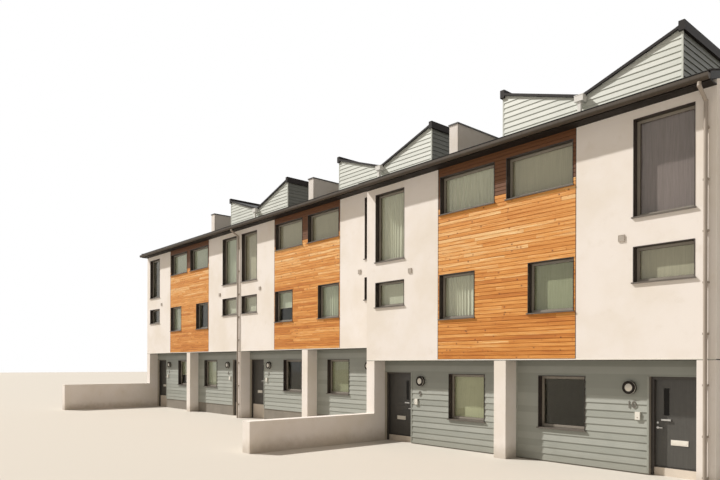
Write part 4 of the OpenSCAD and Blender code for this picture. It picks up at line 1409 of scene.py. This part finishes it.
gutter_runs = [(1, False, -ROW_END, step_left), (HOUSES, False, step_left, ROW_END)]
for h, first, last in ((1, 0, LEFT_HOUSES), (HOUSES, LEFT_HOUSES, HOUSES)):
    start = -ROW_END if first == 0 else step_right
    for n in range(first + 1, last, 2):
        gutter_runs.append((h, True, start, line_x(n) - BOX_HALF))
        start = line_x(n) + BOX_HALF
    gutter_runs.append((h, True, start, ROW_END if last == HOUSES else step_right))
stops = Pile()
straps = Pile()
for h, rear, start, end in gutter_runs:
    y, z = block_yz(h)
    face = Face((0, y + (DEPTH if rear else 0), z), (1, 0, 0), (0, 1 if rear else -1, 0))
    for a in (start, end - STOP_T):
        stops.bar(face, trough(GUTTER_R - IN, GUTTER_TOP - IN, -IN), a, a + STOP_T)
    a = start + FIRST_BRACKET
    while a < end - LAST_BRACKET:
        straps.block(face, a, a + STRAP_W, EAVES_OUT, EAVES_OUT + 2 * GUTTER_R,
                     GUTTER_TOP - STRAP_T, GUTTER_TOP)
        if not rear:
            straps.bar(face, sleeve(BRACKET_OUT), a, a + STRAP_W)
        a += BRACKET_STEP
    a = start + FIRST_UNION
    while a < end - LAST_UNION and not rear:
        straps.bar(face, sleeve(UNION_OUT), a, a + UNION_W)
        a += UNION_STEP
stops.make("gutter_stop_ends", "gutter_grey")
straps.make("gutter_brackets", "gutter_grey")

# %% [markdown]
# The next cells fit out the windows, so first comes a list of where all of them are. Each is
# given on the face of its wall, seen from outside, and with the same sizes in every house.

# %% Window places


def window_places():
    """Every window as (house, name, face, opening), on the wall that it stands in."""
    places = []
    rear_names = ("rear_ground", "rear_first", "rear_top", "outer_ground", "outer_first",
                  "outer_top", "attic")
    for h in range(1, HOUSES + 1):
        upper = wall(h, 0, -1, side(h))
        lower = wall(h, RECESS, -1, side(h))
        rear = wall(h, DEPTH, 1, side(h))
        for name, w in zip(("top", "first", "tall", "small"), LARCH_WINDOWS + RENDER_WINDOWS):
            places.append((h, name, upper, w))
        places.append((h, "ground", lower, GROUND_WINDOWS[0]))
        for name, w in zip(rear_names, REAR_INNER + REAR_OUTER + ATTIC_WINDOWS):
            places.append((h, name, rear, w))
    return places


PLACES = window_places()
print("windows", len(PLACES))

# %% [markdown]
# Every window gets the same three rings: a sash that stands a little proud of its frame, a
# bead that holds the glass, and a black gasket. They are what makes a window read as a window
# from the street. A ring is four bars, mitred at the corners like the real ones.

# %% Sashes, beads and gaskets
REVEAL = 0.15
FRAME_W = 0.06
FRAME_D = 0.07
GLASS_T = 0.024
GLASS_D = REVEAL + (FRAME_D - GLASS_T) / 2
SASH_INSET = 0.018
SASH_OUT = 0.007
BEAD_W = 0.014
BEAD_IN = 0.003
GASKET_W = 0.004


def grown(w, by):
    return w[0] - by, w[1] + by, w[2] - by, w[3] + by


def corners_of(w):
    return [(w[0], w[2]), (w[1], w[2]), (w[1], w[3]), (w[0], w[3])]


def lay_ring(pile, face, w, width, d0, d1):
    """A flat ring inside an opening, as four mitred bars."""
    outer = corners_of(w)
    inner = corners_of(grown(w, -width))
    for i in range(4):
        j = (i + 1) % 4
        quad = [outer[i], outer[j], inner[j], inner[i]]
        pile.solid([face.at(a, d0, z) for a, z in quad],
                   [face.at(a, d1, z) for a, z in quad], PLAIN)


sashes = Pile()
beads = Pile()
gaskets = Pile()
for h, name, face, w in PLACES:
    lay_ring(sashes, face, grown(w, -SASH_INSET), FRAME_W - SASH_INSET,
             -REVEAL, -REVEAL + SASH_OUT)
    lay_ring(beads, face, grown(w, -FRAME_W), BEAD_W, -GLASS_D, -REVEAL - BEAD_IN)
    lay_ring(gaskets, face, grown(w, -FRAME_W - BEAD_W), GASKET_W,
             -GLASS_D, -GLASS_D + GASKET_W)
sashes.make("window_sashes", "frame_bronze")
beads.make("glazing_beads", "frame_bronze")
gaskets.make("glazing_gaskets", "dark_plastic")

# %% [markdown]
# Cloth for the curtains and blinds. It is woven, so its finish has a fine grain all over, and
# slubs, which are the thicker threads that run down the sheet.

# %% Cloth finishes
CLOTHS = {
    "net_white": ("FAF8F0", "EAE7DB"),
    "net_cool": ("E9EDE2", "D9DDD2"),
    "blind_taupe": ("DCD3C4", "CFC6B7"),
    "blind_sage": ("C0C1A9", "B2B39B"),
    "blind_straw": ("E4E3CB", "D7D6BD"),
    "blind_mauve": ("A5939A", "948389"),
}


def cloth_recipe(light, dark):
    def recipe(p):
        weave = noise(stretch(p, (700.0, 700.0, 700.0)), 1.0, 2.0)
        slub = noise(stretch(p, (60.0, 60.0, 2.0)), 1.0, 3.0)
        tone = mix(fade(slub, 0.3, 0.7), paint(dark), paint(light))
        return mix(fade(weave, 0.3, 0.7, 0.2, 0.0), tone, paint(dark)), 0.9, 0.0001 * weave
    return recipe


for name, (light, dark) in CLOTHS.items():
    finish(name, cloth_recipe(light, dark))
print("cloths", list(CLOTHS))

# %% [markdown]
# A sheet is a grid of points and rides with the building. Its area is measured on the mesh
# itself, because that gives the flat size of cloth that hangs in waves.

# %% A sheet of cloth


def cloth_mesh(name, finish_name, rows):
    """A sheet from rows of points, with its own area measured."""
    columns = len(rows[0])
    points = [point for row in rows for point in row]
    faces = [(r * columns + c, r * columns + c + 1, (r + 1) * columns + c + 1,
              (r + 1) * columns + c) for r in range(len(rows) - 1) for c in range(columns - 1)]
    mesh = bpy.data.meshes.new(name)
    mesh.from_pydata(points, [], faces)
    mesh.shade_smooth()
    mesh.materials.append(FINISHES[finish_name])
    piece = bpy.data.objects.new(name, mesh)
    scene.collection.objects.link(piece)
    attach(piece, "building")
    return piece, sum(polygon.area for polygon in mesh.polygons)


print("ready to cut sheets")

# %% [markdown]
# A net curtain is a flat sheet, here cut about a seventh wider than its opening and gathered to
# fit, so it hangs in soft upright folds. Its depth follows a sine wave whose beat wanders a
# little, and the flat width is measured along that wave. A roller blind is a plain sheet,
# hung from a tube, and bows by 3 mm at most. Both hang inside the opening, behind the glass.
# Cloth is a single surface.

# %% Hanging cloth
CLOTH_D = 0.240
BLIND_D = 0.227
FOLD_DEPTH = 0.014
FOLD_W = 0.105
FOLD_STEPS = 12
WANDER = 0.30
WANDER_RATE = 1.4
DRIFT = 0.35
DRIFT_RATE = 2.3
BLIND_BOW = 0.003
NET_LEVELS = 9
BLIND_LEVELS = 13
BLIND_COLUMNS = 9


def hang_net(name, finish_name, face, a0, a1, z0, z1):
    folds = (a1 - a0) / FOLD_W
    wander, lean = random.uniform(0, math.tau), random.uniform(0, math.tau)
    columns = int(folds * FOLD_STEPS)
    rows = []
    for level in range(NET_LEVELS):
        z = z1 + (z0 - z1) * level / (NET_LEVELS - 1)
        row = []
        for i in range(columns + 1):
            t = i / columns
            beat = folds * t + WANDER * math.sin(math.tau * WANDER_RATE * t + wander)
            beat = math.tau * beat + DRIFT * math.sin(DRIFT_RATE * z + lean)
            row.append(face.at(a0 + (a1 - a0) * t, -CLOTH_D + FOLD_DEPTH * math.sin(beat), z))
        rows.append(row)
    piece, area = cloth_mesh(name, finish_name, rows)
    round(area / (z1 - z0), 3)
    round(z1 - z0, 3)


def hang_blind(name, finish_name, face, a0, a1, z0, z1):
    rows = []
    for level in range(BLIND_LEVELS):
        z = z1 + (z0 - z1) * level / (BLIND_LEVELS - 1)
        bow = BLIND_BOW * math.sin(math.pi * level / (BLIND_LEVELS - 1))
        row = []
        for i in range(BLIND_COLUMNS):
            t = i / (BLIND_COLUMNS - 1)
            row.append(face.at(a0 + (a1 - a0) * t, -BLIND_D + bow * math.sin(math.pi * t), z))
        rows.append(row)
    piece, area = cloth_mesh(name, finish_name, rows)
    round(a1 - a0, 3)
    round(area / (a1 - a0), 3)


print("folds of", FOLD_W, "m, and cloth", CLOTH_D, "m behind the face of the wall")

# %% [markdown]
# What hangs in each window: the kind, the cloth, and the part of the opening's height that it
# covers from the top. At the front it follows the picture as far as that shows, and at the
# rear it is a guess. Windows that aren't listed are bare. A tube runs along the head of each
# opening with cloth, and a blind has a bar in its hem.

# %% Curtains and blinds
HUNG = {
    (6, "top"): ("blind", "blind_taupe", 1.0), (6, "first"): ("blind", "blind_sage", 1.0),
    (6, "tall"): ("blind", "blind_mauve", 1.0), (6, "small"): ("blind", "blind_taupe", 1.0),
    (5, "top"): ("net", "net_white", 1.0), (5, "first"): ("net", "net_white", 1.0),
    (5, "tall"): ("net", "net_white", 1.0), (5, "small"): ("blind", "net_white", 1.0),
    (5, "ground"): ("blind", "blind_straw", 1.0),
    (4, "top"): ("blind", "blind_taupe", 1.0), (4, "first"): ("net", "net_cool", 1.0),
    (4, "ground"): ("blind", "blind_sage", 1.0), (4, "tall"): ("net", "net_white", 1.0),
    (3, "top"): ("blind", "blind_taupe", 1.0), (3, "first"): ("blind", "net_cool", 0.55),
    (3, "tall"): ("blind", "blind_taupe", 1.0), (3, "small"): ("blind", "net_white", 1.0),
    (2, "top"): ("net", "net_cool", 1.0), (2, "tall"): ("net", "net_cool", 1.0),
    (2, "small"): ("blind", "net_white", 1.0), (2, "ground"): ("net", "net_cool", 1.0),
    (1, "top"): ("blind", "net_cool", 1.0), (1, "first"): ("net", "net_cool", 1.0),
    (1, "ground"): ("blind", "blind_sage", 0.6),
    (1, "rear_top"): ("net", "net_white", 1.0), (1, "outer_first"): ("blind", "blind_taupe", 0.5),
    (2, "rear_top"): ("net", "net_cool", 1.0), (2, "attic"): ("blind", "net_white", 0.6),
    (3, "rear_first"): ("net", "net_white", 1.0), (3, "outer_top"): ("blind", "blind_sage", 0.5),
    (4, "rear_top"): ("net", "net_white", 1.0), (4, "attic"): ("net", "net_cool", 1.0),
    (5, "rear_top"): ("net", "net_cool", 1.0), (5, "outer_ground"): ("blind", "net_white", 0.4),
    (6, "rear_first"): ("net", "net_cool", 1.0), (6, "attic"): ("blind", "blind_taupe", 0.5),
}
SIDE_GAP = 0.012
FOOT_GAP = 0.012
HEAD_GAP = 0.002
ROLLER_R = 0.016
HEM_BAR = (-0.006, 0.004, -0.010, 0.012)
FULL_TURN = [math.tau * i / 12 for i in range(12)]

rails = Pile()
for h, name, face, w in PLACES:
    if (h, name) not in HUNG:
        continue
    kind, cloth, share = HUNG[h, name]
    a0, a1 = w[0] + SIDE_GAP, w[1] - SIDE_GAP
    z1 = w[3] - 2 * ROLLER_R
    z0 = w[3] - share * (w[3] - w[2]) + FOOT_GAP
    middle = w[3] - ROLLER_R - HEAD_GAP
    tube = [(-CLOTH_D + ROLLER_R * math.cos(t), middle + ROLLER_R * math.sin(t))
            for t in FULL_TURN]
    rails.bar(face, tube, w[0], w[1])
    if kind == "net":
        hang_net(f"net_{h}_{name}", cloth, face, a0, a1, z0, z1)
    else:
        hang_blind(f"blind_{h}_{name}", cloth, face, a0, a1, z0, z1)
        rails.block(face, a0, a1, -BLIND_D + HEM_BAR[0], -BLIND_D + HEM_BAR[1],
                    z0 + HEM_BAR[2], z0 + HEM_BAR[3])
rails.make("curtain_rails", "pale_plastic")
print("hung", len(HUNG))

# %% [markdown]
# Doors: each leaf has a bead round its narrow window, a glossy black pane whose black is
# painted shade for the dark hall behind the glass, and a letter plate with its flap, which is
# fixed here. They ride on the door, so they swing with it. Inside a house b is measured from
# the outer party line.

# %% Door details
LEAF_B = 0.238
LEAF_T = 0.05
LEAF_Y = RECESS + 0.181
LEAF_Z = 0.203
SLOT_B = (LEAF_B + 0.719, LEAF_B + 0.849)
SLOT_Z = (LEAF_Z + 1.085, LEAF_Z + 1.685)
SLOT_BEAD = 0.008
BEAD_OUT = 0.004
STEP_OUT = 0.002
PANE_IN = 0.013
PANE_T = 0.002
PANE_GAP = 0.001
LETTER_B = (LEAF_B + 0.337, LEAF_B + 0.687)
LETTER_Z = (LEAF_Z + 0.47, LEAF_Z + 0.58)
PLATE_OUT = 0.0135
PLATE_LIP = 0.002
FLAP_IN = 0.022
FLAP_FOOT_IN = 0.020
FLAP_T = 0.004
slot = (*SLOT_B, *SLOT_Z)
letters = (*LETTER_B, *LETTER_Z)


def door_side(h, set_back, out=-1):
    """A plane beside or on a door, with a as b. It looks to the street, or inwards."""
    y, z = block_yz(h)
    outer_x = pair_x(h) + side(h) * HOUSE
    return Face((outer_x, y + set_back, z), (-side(h), 0, 0), (0, out, 0))


for h in range(1, HOUSES + 1):
    body = f"door_{h}"
    outside = door_side(h, LEAF_Y)
    inside = door_side(h, LEAF_Y + LEAF_T, 1)
    slot_beads = Pile()
    panes = Pile()
    for face in (outside, inside):
        lay_ring(slot_beads, face, grown(slot, SLOT_BEAD), SLOT_BEAD, -BEAD_OUT, BEAD_OUT)
        lay_ring(slot_beads, face, slot, SLOT_BEAD, -PANE_IN, STEP_OUT)
        b0, b1, z0, z1 = grown(slot, -PANE_GAP)
        panes.block(face, b0, b1, -PANE_IN, -PANE_IN + PANE_T, z0, z1)
    plate = Pile()
    b0, b1, z0, z1 = grown(letters, PLATE_LIP)
    plate.block(outside, b0, b1, 0.0, PLATE_OUT, z0, z1)
    plate.block(outside, LETTER_B[0] + FLAP_IN, LETTER_B[1] - FLAP_IN, PLATE_OUT,
                PLATE_OUT + FLAP_T, LETTER_Z[0] + FLAP_FOOT_IN, LETTER_Z[1] - FLAP_IN)
    slot_beads.make(f"door_slot_bead_{h}", "door_grey", body, bevel=0.001)
    panes.make(f"door_slot_pane_{h}", "black_pane_painted_shade", body)
    plate.make(f"letter_plate_{h}", "pale_plastic", body, bevel=0.0025)

# %% [markdown]
# Beside each door stands the house's number. The 10 at the right can be read in the picture,
# and the others count down from it. The numbers are plain digits, made as a text curve, given
# thickness, and turned to a mesh. The curve lies in the middle of its own thickness, so it is
# moved out by half of that and its bevel, and its back touches the wall.

# %% House numbers
FIRST_NUMBER = 5
DIGIT_B = 1.70
DIGIT_Z = 1.496
DIGIT_SIZE = 0.22
DIGIT_HALF_T = 0.004
DIGIT_BEVEL = 0.0015
DIGIT_OUT = 0.0055

for h in range(1, HOUSES + 1):
    curve = bpy.data.curves.new(f"digits_{h}", "FONT")
    curve.body = str(h + FIRST_NUMBER - 1)
    curve.size = DIGIT_SIZE
    curve.extrude = DIGIT_HALF_T
    curve.bevel_depth = DIGIT_BEVEL
    curve.align_x = "CENTER"
    curve.align_y = "CENTER"
    text = bpy.data.objects.new(f"digits_{h}", curve)
    scene.collection.objects.link(text)
    bpy.context.view_layer.update()
    mesh = bpy.data.meshes.new_from_object(text)
    bpy.data.objects.remove(text)
    mesh.transform(Matrix.Rotation(math.pi / 2, 4, "X"))
    mesh.transform(Matrix.Translation(door_side(h, RECESS).at(DIGIT_B, DIGIT_OUT, DIGIT_Z)))
    mesh.materials.clear()
    mesh.materials.append(FINISHES["number_metal"])
    number = bpy.data.objects.new(f"house_number_{h}", mesh)
    scene.collection.objects.link(number)
    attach(number, "building")
print("numbers", FIRST_NUMBER, "to", FIRST_NUMBER + HOUSES - 1)

# %% [markdown]
# The next cell makes round parts, as a lathe does: a profile of (radius, d) points goes round
# an axis that stands out from the wall.

# %% Turning round parts


def turn(pile, face, a, z, profile, steps, ring=False):
    """A ring's profile joins up with itself, and another's ends are closed by flat faces."""
    first = len(pile.points)
    n = len(profile)
    for i in range(steps):
        cos, sin = math.cos(math.tau * i / steps), math.sin(math.tau * i / steps)
        pile.points += [face.at(a + r * cos, d, z + r * sin) for r, d in profile]
    pile.numbers += [PLAIN] * (n * steps)
    for i in range(steps):
        here, there = first + i * n, first + (i + 1) % steps * n
        for k in range(n if ring else n - 1):
            m = (k + 1) % n
            pile.faces.append((here + k, there + k, there + m, here + m))
    if not ring:
        pile.faces.append(tuple(first + i * n for i in range(steps)))
        pile.faces.append(tuple(first + i * n + n - 1 for i in range(steps)))


print("ready to turn round parts")

# %% [markdown]
# Above the number is a round lamp with a thick dark ring, and beside it a white bell box with
# one button. Higher up on the render is a square vent with slats.

# %% Lamps, bells and vents
LAMP_B = 1.74
LAMP_Z = 1.88
BELL_B = 1.56
BELL_Z = 1.265
BUTTON_DOWN = 0.035
VENT_B = 1.715
VENT_Z = 5.11
VENT_HALF = 0.07
VENT_RIM = 0.014
VENT_D = (0.02, 0.026)
RING = [(0.1505, 0.0), (0.1505, 0.055), (0.146, 0.070), (0.134, 0.0785), (0.112, 0.0795),
        (0.094, 0.0815), (0.088, 0.0810), (0.086, 0.065)]
BUTTON = [(0.013, 0.035), (0.013, 0.038), (0.011, 0.0395)]
SLAT = [(0.020, 0.0), (0.025, 0.0), (0.022, 0.017), (0.020, 0.017)]
SLATS = 5
SLAT_STEP = 0.0216
SLAT_FOOT = 0.016

lamp_rings = Pile()
bell_buttons = Pile()
slats = Pile()
vent = (VENT_B - VENT_HALF, VENT_B + VENT_HALF, VENT_Z - VENT_HALF, VENT_Z + VENT_HALF)
for h in range(1, HOUSES + 1):
    low, high = door_side(h, RECESS), door_side(h, 0)
    turn(lamp_rings, low, LAMP_B, LAMP_Z, RING, 48, ring=True)
    turn(bell_buttons, low, BELL_B, BELL_Z - BUTTON_DOWN, BUTTON, 24)
    lay_ring(slats, high, vent, VENT_RIM, *VENT_D)
    for i in range(SLATS):
        foot = vent[2] + SLAT_FOOT + SLAT_STEP * i
        slats.bar(high, [(d, foot + up) for d, up in SLAT], vent[0] + VENT_RIM,
                  vent[1] - VENT_RIM)
lamp_rings.make("lamp_rings", "dark_plastic", bevel=0.001)
bell_buttons.make("bell_buttons", "vent_grey")
slats.make("vent_slats", "vent_grey")

# %% [markdown]
